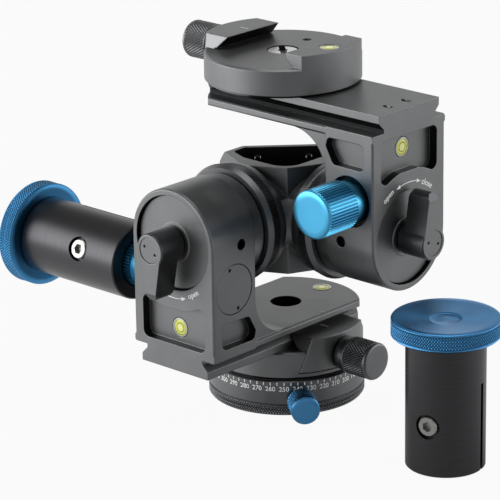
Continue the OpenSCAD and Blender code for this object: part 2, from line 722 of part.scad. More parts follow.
module worm() {
  color("silver") translate([0, worm_y, -axes_apart]) {
    worm_thread();
    x_turn([[0, -leg_half - 8], [worm_shaft_r, -leg_half - 8], [worm_shaft_r, -bush_in - 0.6],
      [worm_shaft_r + 1, -bush_in - 0.3 + 0.1], [worm_shaft_r + 1, -bush_in + 1],
      [worm_shaft_r, -bush_in + 1.6], [worm_shaft_r, bush_in - 1.6], [worm_shaft_r + 1, bush_in - 1],
      [worm_shaft_r + 1, bush_in + 0.2], [worm_shaft_r, bush_in + 0.6], [worm_shaft_r, seat_x],
      [0, seat_x]]);
  }
}

module worm_bushes() {
  color("darkgoldenrod") translate([0, worm_y, -axes_apart]) for (s = [-1, 1]) difference() {
    x_rod(bush_r, s * (bush_in + 0.5), s * (seat_x - 0.05));
    x_rod(worm_shaft_r + run_gap, s * bush_in, s * (seat_x + 1));
    x_rod(worm_shaft_r + 1.3, s * bush_in, s * (bush_in + 1.2));
  }
}

module worm_cover() {
  color("gray") translate([0, worm_y, -axes_apart]) difference() {
    x_turn([[0, leg_half - cover_t], [cover_r, leg_half - cover_t], [cover_r, leg_half - 0.4],
      [cover_r - 0.3, leg_half - 0.1], [0, leg_half - 0.1]]);
    for (turn = [15, 195]) rotate([turn, 0, 0]) translate([0, 0, cover_r - 1.8])
      x_rod(cap_pin_r + 0.15, leg_half - 1.4, leg_half + 1);
  }
}

// Fluted knob: the flutes stop at a smooth neck that runs into the bore
module drive_knob() {
  face = -leg_half - drive_out;
  flute_end = face + flute_l;
  color("deepskyblue") translate([0, worm_y, -axes_apart]) difference() {
    union() {
      x_turn([[0, face], [drive_r - 1.1, face], [drive_r - 0.4, face + 0.7], [drive_r - 0.4, face + 1.2],
        [0, face + 1.2]]);
      translate([face + 1, 0, 0]) along_x() linear_extrude(flute_l - 1)
        polygon([for (k = [0 : 4 * drive_flutes - 1]) let (r = drive_r - (k % 4 < 2 ? 0 : 0.55))
          r * [cos(90 * k / drive_flutes), sin(90 * k / drive_flutes)]]);
      x_turn([[0, flute_end - 0.5], [drive_neck_r, flute_end - 0.5], [drive_neck_r, -seat_x - 1.2],
        [drive_neck_r - 0.6, -seat_x - 0.6], [0, -seat_x - 0.6]]);
    }
    x_rod(worm_shaft_r + seat_gap, -leg_half - 8.5, 0);
  }
}

module wheel_nut() {
  y0 = worm_y - wheel_hub_half - 0.1;
  color("dimgray") difference() {
    y_rod(seat_r + 2.4, y0 - nut_t, y0);
    y_rod(stud_r + 1 + seat_gap, y0 - nut_t - 1, y0 + 1);
    for (a = [0 : 90 : 270]) rotate([0, a, 0])
      span([seat_r + 1.2, y0 - nut_t - 1, -1], [seat_r + 4, y0 + 1, 1]);
  }
}

// Stepped spindle: flange on the block, thrust shoulder, journal, wheel seat, thread, stud in the lever
module tilt_spindle() {
  y_seat = worm_y + wheel_hub_half + 0.1;
  y_nut = worm_y - wheel_hub_half - 0.05;
  y_end = y_nut - nut_t - 0.1;
  color("silver") difference() {
    y_turn([[0, -mount_face], [flange_r, -mount_face], [flange_r, -mount_face - flange_t],
      [journal_r + 3, -mount_face - flange_t], [journal_r + 3, pass_gap - collar_face],
      [journal_r, pass_gap - collar_face], [journal_r, y_seat], [seat_r, y_seat], [seat_r, y_nut],
      [stud_r + 1, y_nut], [stud_r + 1, y_end], [stud_r, y_end], [stud_r, 5 - lever_face],
      [0, 5 - lever_face]]);
    for (a = bolt_places) rotate([0, a, 0]) translate([bolt_circle_r, 0, 0]) {
      y_rod(bolt_hole_r + run_gap, -reach, 0);
      y_rod(bolt_head_r + 0.1, -reach, -mount_face - 2);
    }
  }
}

module spindle_screws() {
  y0 = -mount_face - 2;
  color("dimgray") for (a = bolt_places) rotate([0, a, 0]) translate([bolt_circle_r, 0, 0])
    difference() {
      union() {
        y_rod(bolt_head_r, y0 - 1.9, y0);
        y_rod(bolt_hole_r, y0 - 0.1, -mount_face + 5);
      }
      translate([0, y0 - 2, 0]) along_y() cylinder(r = 1.3, h = 1.2, $fn = 6);
    }
}

// Graduated drum: cone towards the collar, then a chamfer; it hides the thrust face
module scale_ring() {
  y0 = -mount_face;
  y1 = 0.4 - collar_face;
  color("black") difference() {
    y_turn([[flange_r + seat_gap, y0], [scale_r - 1.7, y0], [scale_r - 1.5, y0 - 1], [scale_r, y1 + 2.2],
      [scale_r - 1.4, y1], [scale_r - 4, y1], [scale_r - 4, y0 - flange_t - 0.4],
      [flange_r + seat_gap, y0 - flange_t - 0.4]]);
    for (a = bolt_places) rotate([0, a, 0]) translate([bolt_circle_r, 0, 0])
      y_rod(bolt_head_r + 0.1, -reach, -mount_face - 2);
  }
}

// ================= centre block =================
// Plan of the block: shallow facets from each mounting face to the front corner and to the ends
function block_plan() = let (e = block_end, m = mount_face, d = block_front / sqrt(2),
    b = block_back * sqrt(2), side = m - (m - d) / (d - 1) * (e - 1))
  [[-e, -side], [-1, -m], [1, -m], [d, -d], [m, -1], [m, 1], [side, e], [e - b, e], [-e, b - e]];

module center_block() {
  round_r = block_half + 6.6;
  color("dimgray") at_lower() difference() {
    intersection() {
      union() {
        translate([0, 0, -block_half]) linear_extrude(2 * block_half) polygon(block_plan());
        y_rod(flange_r + 3, -mount_face, -mount_face / 2);
        x_rod(flange_r + 3, mount_face / 2, mount_face);
      }
      // each end falls off round the far tilt axis
      union() {
        y_rod(round_r, -reach, reach);
        span([0, -reach, -reach], [reach, reach, reach]);
      }
      union() {
        x_rod(round_r, -reach, reach);
        span([-reach, -reach, -reach], [reach, 0, reach]);
      }
    }
    pocket_cut();
    for (a = bolt_places) {
      for (turn = [0, 90]) rotate([0, 0, turn]) rotate([0, a, 0]) translate([bolt_circle_r, 0, 0])
        y_rod(bolt_hole_r + seat_gap, -mount_face - 1, -mount_face + 5.6);
    }
    back_slab(0.1);
    cover_screw_places() z_rod(1.2, -back_t - 6, 1);
  }
}

// Pocket: open at the top, with round corners; the cover closes its back, and it runs into the cover's seat
module pocket_cut() {
  w = mount_face - block_wall;
  e = block_end - block_end_wall;
  back = (block_back - back_t + 0.5) * sqrt(2);
  side = w - 3.7;
  translate([0, 0, block_floor - block_half]) linear_extrude(2 * block_half) intersection() {
    round_polygon([[-e, -side], [-7, -w], [w, -w], [w, 7], [side, e], [-e, e]], [3, 9, 9, 9, 3, 2]);
    polygon([[-e - 1, -w - 1], [w + 1, -w - 1], [w + 1, e + 1], [e + 1 - back, e + 1],
      [-e - 1, back - e - 1]]);
  }
}

// Slab across the back of the block, seen along the diagonal
module back_slab(room) {
  half = (block_end - block_end_wall) * sqrt(2) - block_back + back_t + 1.5 + room;
  rotate([0, 0, -45])
    span([-block_back - 1, -half, 2 - block_half - room], [back_t - block_back, half, block_half + 3]);
}

module cover_screw_places() {
  rotate([0, 0, -45]) rotate([0, -90, 0]) translate([0, 0, block_back])
    for (z = [-block_half + 4, block_half - 5], s = [-1, 1]) translate([z, s * 11, 0]) children();
}

module center_cover() {
  color("black") at_lower() difference() {
    intersection() {
      back_slab(0);
      translate([0, 0, -block_half]) linear_extrude(2 * block_half - 0.2) polygon(block_plan());
    }
    cover_screw_places() z_rod(1.35, -back_t - 1, 2);
  }
}

module center_cover_screws() {
  color("silver") at_lower() cover_screw_places() z_rod(1.15, -back_t - 4, -0.2);
}

// ================= handles, drawn standing on their open end =================
module slip_tube() {
  color("black") difference() {
    z_turn([[0, socket_l], [drive_r + 0.5, socket_l], [drive_r + 0.5, 0], [tube_r - 0.5, 0], [tube_r, 0.5],
      [tube_r, tube_l - 0.5], [tube_r - 0.5, tube_l], [0, tube_l]]);
    // slit that lets the tube close on the knob
    span([-slit_w / 2, 0, -1], [slit_w / 2, tube_r + 1, slit_l]);
    // set screw with its counterbore
    translate([0, 0, set_screw_at]) rotate([0, 0, -90]) {
      x_rod(2.5 + seat_gap, 0, tube_r + 1);
      x_rod(set_head_r + 1.1, tube_r - 3, tube_r + 1);
    }
    z_rod(3 + seat_gap, tube_l - 10, tube_l + 1);
  }
}

module slip_disc() {
  z0 = tube_l;
  z1 = tube_l + disc_t;
  color("steelblue") z_turn([[0, z0 - 9], [3, z0 - 9], [3, z0 + 0.05], [disc_r - 0.7, z0 + 0.05],
    [disc_r, z0 + 0.7], [disc_r, z1 - 0.7], [disc_r - 0.7, z1], [disc_r - 2, z1], [0, z1 - 0.9]]);
}

module slip_screw() {
  color("silver") translate([0, 0, set_screw_at]) rotate([0, 0, -90]) difference() {
    union() {
      x_rod(2.5, drive_r + 0.6, tube_r - 2.9);
      x_turn([[0, tube_r - 2.95], [set_head_r, tube_r - 2.95], [set_head_r, tube_r - 0.9],
        [set_head_r - 0.4, tube_r - 0.4], [0, tube_r - 0.4]]);
    }
    translate([tube_r - 2.4, 0, 0]) along_x() cylinder(r = 2.3, h = 2.4, $fn = 6);
  }
}

// The fitted handle is turned so that its set screw faces forwards and a little up
module handle_turn() { rotate([0, 0, 17.6]) children(); }
module spare_turn() { rotate([0, 0, 12]) children(); }
module handle_tube() { at_handle() handle_turn() slip_tube(); }
module handle_disc() { at_handle() slip_disc(); }
module handle_screw() { at_handle() handle_turn() slip_screw(); }
module spare_handle_tube() { at_spare() spare_turn() slip_tube(); }
module spare_handle_disc() { at_spare() slip_disc(); }
module spare_handle_screw() { at_spare() spare_turn() slip_screw(); }

// ================= the two tilt units =================
module lower_bracket() { color("dimgray") at_lower() bracket(); }
module lower_levels() { at_lower() bracket_levels(2); }
module lower_end_cap() { at_lower() end_cap(); }
module lower_lever() { at_lower() lever(); }
module lower_lever_cap() { at_lower() lever_cap(25); }
module lower_worm() { at_lower() worm(); }
module lower_worm_bushes() { at_lower() worm_bushes(); }
module lower_worm_cover() { at_lower() worm_cover(); }
module lower_drive_knob() { at_lower() drive_knob(); }
module lower_worm_wheel() { at_lower() worm_wheel(); }
module lower_wheel_nut() { at_lower() wheel_nut(); }
module lower_spindle() { at_lower() tilt_spindle(); }
module lower_spindle_screws() { at_lower() spindle_screws(); }
module lower_scale_ring() { at_lower() scale_ring(); }
module upper_bracket() { color("dimgray") at_upper() bracket(); }
module upper_level() { at_upper() bracket_levels(1); }
module upper_end_cap() { at_upper() end_cap(); }
module upper_lever() { at_upper() lever(); }
module upper_lever_cap() { at_upper() lever_cap(-16); }
module upper_worm() { at_upper() worm(); }
module upper_worm_bushes() { at_upper() worm_bushes(); }
module upper_worm_cover() { at_upper() worm_cover(); }
module upper_drive_knob() { at_upper() drive_knob(); }
module upper_worm_wheel() { at_upper() worm_wheel(); }
module upper_wheel_nut() { at_upper() wheel_nut(); }
module upper_spindle() { at_upper() tilt_spindle(); }
module upper_spindle_screws() { at_upper() spindle_screws(); }
module upper_scale_ring() { at_upper() scale_ring(); }

base_ring();
base_plate();
base_plate_screws();
tripod_bush();
pan_lock_knob();
pan_lock_screw();
pan_lock_shoe();
pan_washer();
pan_spindle();
pan_spindle_screws();
base_clamp_body();
base_clamp_pins();
base_clamp_jaw();
base_clamp_screw();
base_clamp_knob();
lower_bracket();
lower_levels();
lower_end_cap();
lower_lever();
lower_lever_cap();
lower_worm();
lower_worm_bushes();
lower_worm_cover();
lower_drive_knob();
lower_worm_wheel();
lower_wheel_nut();
lower_spindle();
lower_spindle_screws();
lower_scale_ring();
center_block();
center_cover();
center_cover_screws();
upper_bracket();
upper_level();
upper_end_cap();
upper_lever();
upper_lever_cap();
upper_worm();
upper_worm_bushes();
upper_worm_cover();
upper_drive_knob();
upper_worm_wheel();
upper_wheel_nut();
upper_spindle();
upper_spindle_screws();
upper_scale_ring();
top_clamp_body();
top_clamp_pins();
top_clamp_jaw();
top_clamp_screw();
top_clamp_knob();
top_level();
top_center_screw();
top_clamp_nut();
handle_tube();
handle_disc();
handle_screw();
spare_handle_tube();
spare_handle_disc();
spare_handle_screw();
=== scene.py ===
import json
import math

import bmesh
import bpy
import numpy as np
from mathutils import Matrix, Vector

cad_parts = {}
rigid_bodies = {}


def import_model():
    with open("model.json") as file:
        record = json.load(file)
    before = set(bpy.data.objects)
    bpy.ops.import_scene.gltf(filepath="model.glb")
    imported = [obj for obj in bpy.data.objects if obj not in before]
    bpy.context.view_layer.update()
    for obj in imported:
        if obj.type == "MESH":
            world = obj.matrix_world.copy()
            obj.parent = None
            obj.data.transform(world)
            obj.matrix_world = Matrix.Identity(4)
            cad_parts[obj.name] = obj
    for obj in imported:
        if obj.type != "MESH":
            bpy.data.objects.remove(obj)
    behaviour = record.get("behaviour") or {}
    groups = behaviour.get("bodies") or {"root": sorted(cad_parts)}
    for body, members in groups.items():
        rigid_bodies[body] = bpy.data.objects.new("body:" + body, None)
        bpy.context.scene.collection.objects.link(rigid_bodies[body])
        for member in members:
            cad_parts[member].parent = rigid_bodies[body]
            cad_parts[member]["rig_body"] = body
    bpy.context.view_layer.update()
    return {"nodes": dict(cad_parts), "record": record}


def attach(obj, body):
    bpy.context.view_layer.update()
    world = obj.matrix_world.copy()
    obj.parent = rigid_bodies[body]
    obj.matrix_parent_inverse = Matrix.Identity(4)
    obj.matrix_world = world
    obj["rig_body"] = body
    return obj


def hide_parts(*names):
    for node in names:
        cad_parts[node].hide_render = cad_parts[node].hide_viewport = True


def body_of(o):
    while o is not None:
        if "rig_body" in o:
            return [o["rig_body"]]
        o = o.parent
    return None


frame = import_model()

mm = 0.001
axisZ = 84.2         # height of both tilt axes
facePlane = 69.3     # pan axis to the outer face of each leg
lowerWorm = (0, -56.7, 65.8)         # where the worms' axes pass the middle of their units
upperWorm = (56.7, 0, 102.6)
fittedHandle = (-31.8, -56.7, 65.8)  # mouths of the two slip-on handles
spareHandle = (106.3, -20.8, 0)
print("frame loaded:", len(frame["nodes"]), "nodes")


def linearColour(hexText):
    # sRGB hex to linear light: below the knee a straight line, above it the power curve
    parts = [int(hexText[i:i + 2], 16) / 255 for i in (1, 3, 5)]
    return [c / 12.92 if c <= 0.04045 else ((c + 0.055) / 1.055) ** 2.4 for c in parts] + [1]


def addNode(tree, kind, settings=None, links=None):
    # one node with its settings and links; a key is an input's name or number, or a property
    node = tree.nodes.new(kind)
    for key, value in (settings or {}).items():
        if isinstance(key, int) or key in node.inputs:
            node.inputs[key].default_value = value
        else:
            setattr(node, key, value)
    for key, socket in (links or {}).items():
        tree.links.new(socket, node.inputs[key])
    return node


def addObject(name, data):
    obj = bpy.data.objects.new(name, data)
    bpy.context.scene.collection.objects.link(obj)
    return obj


def emptyTree(owner):
    # the node tree of a material or world, with nothing in it
    owner.use_nodes = True
    owner.node_tree.nodes.clear()
    return owner.node_tree


def newMaterial(name, spec, **sockets):
    # a material with its Principled shader; constant values stay on the shader's own sockets
    material = bpy.data.materials.new(name)
    tree = emptyTree(material)
    shader = addNode(tree, "ShaderNodeBsdfPrincipled", {
        "Base Color": linearColour(spec["colour"]), "Metallic": spec["metallic"],
        "Roughness": spec["roughness"], **sockets})
    addNode(tree, "ShaderNodeOutputMaterial", links={"Surface": shader.outputs["BSDF"]})
    return material, tree, shader


def objectPoint(tree, move=(0, 0, 0), turn=(0, 0, 0)):
    # object coordinates in metres, moved and turned so that a pattern sits on its piece
    coords = addNode(tree, "ShaderNodeTexCoord")
    return addNode(tree, "ShaderNodeMapping", {"vector_type": "TEXTURE", "Location": move, "Rotation": turn},
                   {"Vector": coords.outputs["Object"]}).outputs["Vector"]


noiseLow, noiseHigh = 0.3, 0.7      # a noise texture seldom leaves this range
timesColour = {"data_type": "RGBA", "blend_type": "MULTIPLY", "Factor": 1.0}


def tintedColour(tree, spec, value):
    # the finish's colour times a tone that follows a noise value
    tone = addNode(tree, "ShaderNodeMapRange", {"From Min": noiseLow, "From Max": noiseHigh,
                                                "To Min": spec["tone"][0], "To Max": spec["tone"][1]},
                   {"Value": value})
    return addNode(tree, "ShaderNodeMix", {**timesColour, 6: linearColour(spec["colour"])},
                   {7: tone.outputs["Result"]}).outputs[2]


def blastedFinish(name, spec):
    # bead-blasted and anodised aluminium: a fine even grain, a slight cloud of lighter and darker tone, and
    # edges that are broken by a small radius and catch the light
    cloudWidth, grainDepth, roughnessPlay = 14 * mm, 0.03 * mm, 0.03
    material, tree, shader = newMaterial(name, spec)
    point = objectPoint(tree)
    cloud = addNode(tree, "ShaderNodeTexNoise", {"Scale": 1 / cloudWidth, "Detail": 3.0, "Roughness": 0.6},
                    {"Vector": point})
    grain = addNode(tree, "ShaderNodeTexNoise", {"Scale": 1 / (spec["grain"] * mm), "Detail": 2.0},
                    {"Vector": point})
    rough = addNode(tree, "ShaderNodeMapRange", {"From Min": noiseLow, "From Max": noiseHigh,
                                                 "To Min": spec["roughness"] - roughnessPlay,
                                                 "To Max": spec["roughness"] + roughnessPlay},
                    {"Value": cloud.outputs["Fac"]})
    edge = addNode(tree, "ShaderNodeBevel", {"samples": 6, "Radius": spec["edge"] * mm})
    bump = addNode(tree, "ShaderNodeBump", {"Strength": spec["bump"], "Distance": grainDepth},
                   {"Height": grain.outputs["Fac"], "Normal": edge.outputs["Normal"]})
    tree.links.new(tintedColour(tree, spec, cloud.outputs["Fac"]), shader.inputs["Base Color"])
    tree.links.new(rough.outputs["Result"], shader.inputs["Roughness"])
    tree.links.new(bump.outputs["Normal"], shader.inputs["Normal"])
    return material


def turnedFinish(name, spec, axis, centre):
    # lathe-turned and anodised: rings about the axis, far finer on the real piece than they are drawn here,
    # so that they show; the streaks run round with them, and the bottoms of knurls and flutes get painted
    # shade
    streakWidth, streakLength, ringDepth = 9 * mm, 40, 0.02 * mm
    waveFactor = 20      # the wave texture multiplies its scale by this
    grooveTone = 0.08
    material, tree, shader = newMaterial(name, spec)
    turns = {"x": (0, math.pi / 2, 0), "y": (math.pi / 2, 0, 0), "z": (0, 0, 0)}
    point = objectPoint(tree, [c * mm for c in centre], turns[axis])
    rings = addNode(tree, "ShaderNodeTexWave", {"wave_type": "RINGS", "rings_direction": "Z",
                                                "Scale": 1 / (spec["feed"] * mm) / waveFactor,
                                                "Distortion": 0.6, "Detail": 1.0, "Detail Scale": 4.0},
                    {"Vector": point})
    squeeze = addNode(tree, "ShaderNodeMapping", {"Scale": (1, 1, streakLength)}, {"Vector": point})
    streak = addNode(tree, "ShaderNodeTexNoise", {"Scale": 1 / streakWidth, "Detail": 4.0},
                     {"Vector": squeeze.outputs["Vector"]})
    both = addNode(tree, "ShaderNodeMath", {"operation": "ADD"},
                   {0: rings.outputs["Fac"], 1: streak.outputs["Fac"]})
    bump = addNode(tree, "ShaderNodeBump", {"Strength": spec["bump"], "Distance": ringDepth},
                   {"Height": both.outputs["Value"]})
    # painted shade: the base colour darkens towards the bottoms of knurls and flutes, as kept on the mesh
    depth = addNode(tree, "ShaderNodeAttribute", {"attribute_name": "paintedGrooveShade"}).outputs["Fac"]
    shade = addNode(tree, "ShaderNodeMapRange", {"To Min": 1.0, "To Max": grooveTone}, {"Value": depth})
    paint = addNode(tree, "ShaderNodeMix", timesColour,
                    {6: tintedColour(tree, spec, streak.outputs["Fac"]), 7: shade.outputs["Result"]})
    tree.links.new(paint.outputs[2], shader.inputs["Base Color"])
    tree.links.new(bump.outputs["Normal"], shader.inputs["Normal"])
    if "brushed" in spec:
        shader.inputs["Anisotropic"].default_value = spec["brushed"]
        brush = addNode(tree, "ShaderNodeTangent", {"direction_type": "RADIAL", "axis": axis.upper()})
        tree.links.new(brush.outputs["Tangent"], shader.inputs["Tangent"])
    return material


def metal(colour, roughness, tone, bump, **more):
    return {"colour": colour, "metallic": 1.0, "roughness": roughness, "tone": tone, "bump": bump, **more}


# grey anodised aluminium, bead-blasted: satin, no mirror image
greyMetal = metal("#7a7b7c", roughness=0.42, tone=(0.95, 1.04), bump=0.25, grain=0.35, edge=0.5)
# painted shade on the grey metal, in pockets, grooves and bores: darker and smoother
paintedShadeMetal = metal("#2c2d2e", roughness=0.36, tone=(0.92, 1.06), bump=0.15, grain=0.5, edge=0.3)
# between the two: the levers, all but their flat fronts
midMetal = metal("#57585a", roughness=0.4, tone=(0.94, 1.05), bump=0.15, grain=0.5, edge=0.3)
# black anodised aluminium, turned: nearly black with a soft grey sheen
blackMetal = metal("#4a4a4c", roughness=0.36, tone=(0.9, 1.1), bump=0.25, feed=0.5)
# graphite anodised aluminium, turned: clamp knobs and scale rings
graphiteMetal = metal("#6e6f71", roughness=0.38, tone=(0.94, 1.05), bump=0.2, feed=0.5)
# deep blue anodised aluminium of the discs and the lock knob
deepBlueMetal = metal("#4a8dc2", roughness=0.36, tone=(0.96, 1.04), bump=0.2, feed=0.5, brushed=0.75)
# sky blue anodised aluminium of the drive knobs
skyBlueMetal = metal("#56b4e0", roughness=0.32, tone=(0.97, 1.03), bump=0.15, feed=0.5)
# nickel-plated set screws: duller than turned steel
nickelMetal = metal("#a6a6a4", roughness=0.38, tone=(0.95, 1.03), bump=0.15, feed=0.4)
# turned steel: bright, with a clear reflection
steelMetal = metal("#d6d6d4", roughness=0.28, tone=(0.95, 1.03), bump=0.15, feed=0.4)
# cut bronze of wheels and bushes
bronzeMetal = metal("#b58a4a", roughness=0.35, tone=(0.95, 1.03), bump=0.2, feed=0.4)

greyBlasted = blastedFinish("greyAnodisedBlasted", greyMetal)
greyRounded = blastedFinish("greyAnodisedRounded", {**greyMetal, "edge": 0.9})
# painted shade for the walls of pockets, grooves, bores and undercuts
paintedShadeGrey = blastedFinish("darkAnodisedMilled", paintedShadeMetal)
midGreySides = blastedFinish("greyAnodisedMidTone", midMetal)
# the axis that each finish was turned about, and a point on it
workCentres = {"lower": ("x", lowerWorm), "upper": ("y", upperWorm), "pan": ("z", (0, 0, 0)),
               "spare": ("z", spareHandle), "lowerTilt": ("y", (0, 0, axisZ)),
               "upperTilt": ("x", (0, 0, axisZ)), "lock": ("z", (0, 0, 0))}
turnedLooks = {"black": (blackMetal, ("lower", "spare", "pan")),
               "graphite": (graphiteMetal, ("pan", "lowerTilt", "upperTilt")),
               "deepBlue": (deepBlueMetal, ("lower", "spare", "lock")),
               "skyBlue": (skyBlueMetal, ("lower", "upper")), "steel": (steelMetal, ("pan",)),
               "nickel": (nickelMetal, ("pan",)), "bronze": (bronzeMetal, ("pan",))}
# the fitted disc is drawn darker than the other blue parts as painted shade, and the lock knob lighter as
# painted light
paintedLightAndShade = {("deepBlue", "lower"): "#3f80b0", ("deepBlue", "lock"): "#569bd0"}
turned = {}
for look, (spec, places) in turnedLooks.items():
    for place in places:
        tonedSpec = {**spec, "colour": paintedLightAndShade.get((look, place), spec["colour"])}
        turned[look, place] = turnedFinish(look + "Turned" + place[0].upper() + place[1:], tonedSpec,
                                           *workCentres[place])
print("finishes ready")


def smoothPiece(obj, degrees):
    # smooth shading with sharp edges above an angle
    obj.data.shade_smooth()
    obj.data.set_sharp_from_angle(angle=math.radians(degrees))


def unitPoint(nodeName, p):
    # a world point in mm in the unit's own frame: tilt axis along y, arm towards -z; the upper unit is the
    # lower one mirrored in z and turned a quarter
    if nodeName.startswith("upper"):
        return Vector((p.y, -p.x, axisZ - p.z))
    return Vector((p.x, p.y, p.z - axisZ))


def unitNormal(nodeName, n):
    # a direction in the same frame
    if nodeName.startswith("upper"):
        return Vector((n.y, -n.x, -n.z))
    return Vector(n)


def bracketDark(p, n, upper):
    # painted shade on the walls of the pockets, of the bores and holes, and of the upper rail's groove; the
    # limits are in mm in the unit's own frame, a little outside the form they bound
    facePocket = abs(p.x) < 17.9 and -44.8 < p.z < -20.3 and -facePlane + 0.05 < p.y < -65.5 and abs(n.y) < 0.7
    sidePocket = abs(abs(p.x) - 21) < 1.98 and -44 < p.z < -31.5 and p.y > -64.8 and abs(n.x) < 0.7
    recess = math.hypot(p.x, p.z) < 20.5 and -69.25 < p.y < -60 and abs(n.y) < 0.5
    groove = upper and abs(p.x) < 22.5 and -52.75 < p.z < -48.1 and abs(n.y) < 0.5 and 0.1 < abs(n.x)
    bore = math.hypot(p.x, p.y) < 6.9 and p.z < -40 and abs(n.z) < 0.5
    holes = abs(p.x) < 12 and -55 < p.y < -20 and p.z < -44 and abs(n.z) < 0.95
    small = abs(p.y + 51.9) < 2.5 and abs(p.z) < 2.5 and abs(p.x) > 18
    worm = math.hypot(p.y + 56.7, p.z + 18.4) < 11 and abs(p.x) < 22.9
    inside = math.hypot(p.x, p.z) < 20 and -66 < p.y < -37.2
    return facePocket or sidePocket or recess or groove or bore or holes or small or worm or inside


def leverDark(p, n, upper):
    # everything but the flat front
    return n.y > -0.97


def clampDark(p, n, upper):
    # painted shade on the undercut faces of the jaws, and in the small bores
    undercut = 0.2 < abs(n.x) < 0.95 and n.z < -0.3
    return undercut or math.hypot(p.x, p.y) < 6.9 and abs(n.z) < 0.5


def blockDark(p, n, upper):
    # painted shade on the walls and floor of the pocket, in mm
    return abs(p.x) < 18 and abs(p.y) < 18 and -17.6 < p.z - axisZ < 23.2


bracket = {"dark": bracketDark, "barrel": 23.0}
jaw = {"dark": clampDark, "look": greyRounded}
lever = {"dark": leverDark, "darkLook": midGreySides, "bevel": 0.5}
machined = {
    "lower_bracket": bracket, "upper_bracket": bracket, "base_clamp_body": {"dark": clampDark},
    "top_clamp_body": {"dark": clampDark}, "base_clamp_jaw": jaw, "top_clamp_jaw": jaw,
    "center_block": {"dark": blockDark}, "lower_lever": lever, "upper_lever": lever,
    "lower_end_cap": {}, "upper_end_cap": {}, "top_clamp_nut": {}, "lower_worm_cover": {},
    "upper_worm_cover": {}, "lower_lever_cap": {}, "upper_lever_cap": {},
}


def roundBarrel(nodeName, mesh, radius):
    # the gear housing's round back: its normals point straight away from the tilt axis, also where the CAD
    # mesh runs in long thin triangles to the small hole; a normal of nought stays as it is
    backEnd, chord = -43, 0.5
    normals = [(0, 0, 0)] * len(mesh.loops)
    for polygon in mesh.polygons:
        p = unitPoint(nodeName, polygon.center / mm)
        n = unitNormal(nodeName, polygon.normal)
        onBarrel = abs(math.hypot(p.x, p.z) - radius) < chord and p.y < backEnd
        if onBarrel and abs(n.y) < 0.05 and n.z > 0.005:
            polygon.use_smooth = True
            for loop in polygon.loop_indices:
                p = unitPoint(nodeName, mesh.vertices[mesh.loops[loop].vertex_index].co / mm)
                away = Vector((p.x, 0, max(p.z, 0))).normalized()
                normals[loop] = (0, away.x, -away.z) if nodeName.startswith("upper") else away[:]
    mesh.normals_split_custom_set(normals)


def machinedCopy(nodeName, material, spec):
    # a copy of a CAD part with its flat faces joined, and the faces that its mask picks in painted shade (on
    # the levers, in a mid grey); a face is shaded flat unless nearly half of its outline runs on smoothly into
    # the next face, as on a round
    weld, joinAngle = 0.002 * mm, math.radians(0.6)
    runsOnFrom, runsOnTo, runsOnShare = math.radians(0.55), math.radians(28), 0.45
    source = frame["nodes"][nodeName]
    work = bmesh.new()
    work.from_mesh(source.data)
    bmesh.ops.remove_doubles(work, verts=work.verts, dist=weld)
    bmesh.ops.dissolve_limit(work, angle_limit=joinAngle, verts=work.verts, edges=work.edges)
    if "dark" in spec:
        for face in work.faces:
            p = face.calc_center_median() / mm
            if nodeName.startswith(("lower", "upper")):
                p = unitPoint(nodeName, p)
            n = unitNormal(nodeName, face.normal)
            face.material_index = int(bool(spec["dark"](p, n, nodeName.startswith("upper"))))
    flatFaces = []
    for face in work.faces:
        outline = [(edge.calc_length(), edge.calc_face_angle(math.pi)) for edge in face.edges]
        runsOn = sum(length for length, angle in outline if runsOnFrom < angle < runsOnTo)
        flatFaces.append(runsOn < runsOnShare * sum(length for length, angle in outline))
    mesh = bpy.data.meshes.new(nodeName + "Finished")
    work.to_mesh(mesh)
    work.free()
    mesh.materials.append(spec.get("look", material))
    # the faces that the mask picks: painted shade, unless the spec gives a look of its own
    mesh.materials.append(spec.get("darkLook", paintedShadeGrey))
    obj = addObject(nodeName + "_finished", mesh)
    smoothPiece(obj, 28)
    if "bevel" not in spec:
        mesh.polygons.foreach_set("use_smooth", [not flat for flat in flatFaces])
        if "barrel" in spec:
            roundBarrel(nodeName, mesh, spec["barrel"])
    else:
        bevel = obj.modifiers.new("edgeBreak", "BEVEL")
        bevel.width = spec["bevel"] * mm
        bevel.segments = 2
        bevel.limit_method = "ANGLE"
        bevel.angle_limit = math.radians(30)
        bevel.miter_outer = "MITER_ARC"
        bevel.material = 0
        flat = obj.modifiers.new("flatFaces", "WEIGHTED_NORMAL")
        flat.mode = "FACE_AREA"
        flat.weight = 80
        flat.keep_sharp = True
    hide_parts(nodeName)
    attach(obj, body_of(source)[0])
    return obj


for nodeName, spec in machined.items():
    machinedCopy(nodeName, greyBlasted, spec)
print("machined parts ready:", len(machined))


def axisFrame(axis, origin):
    # turns a piece's own X to the given direction and moves it to its origin, given in mm
    towards = Vector(axis).normalized()
    turn = Vector((1, 0, 0)).rotation_difference(towards).to_matrix().to_4x4()
    return np.array(Matrix.Translation(Vector(origin) * mm) @ turn)


def meshObject(name, points, faces):
    # an object with its normals turned outwards
    mesh = bpy.data.meshes.new(name)
    mesh.from_pydata(points.tolist(), [], faces)
    work = bmesh.new()
    work.from_mesh(mesh)
    bmesh.ops.recalc_face_normals(work, faces=work.faces)
    work.to_mesh(mesh)
    work.free()
    return addObject(name, mesh)


def finishMesh(name, points, faces, material, node, slot, sharp, stands=False):
    # a finished piece: it rides with the CAD node's body, and may stand for that node
    obj = meshObject(name, points, faces)
    obj.data.materials.append(material)
    smoothPiece(obj, sharp)
    if stands:
        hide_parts(node)
    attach(obj, body_of(frame["nodes"][node])[0])
    return obj


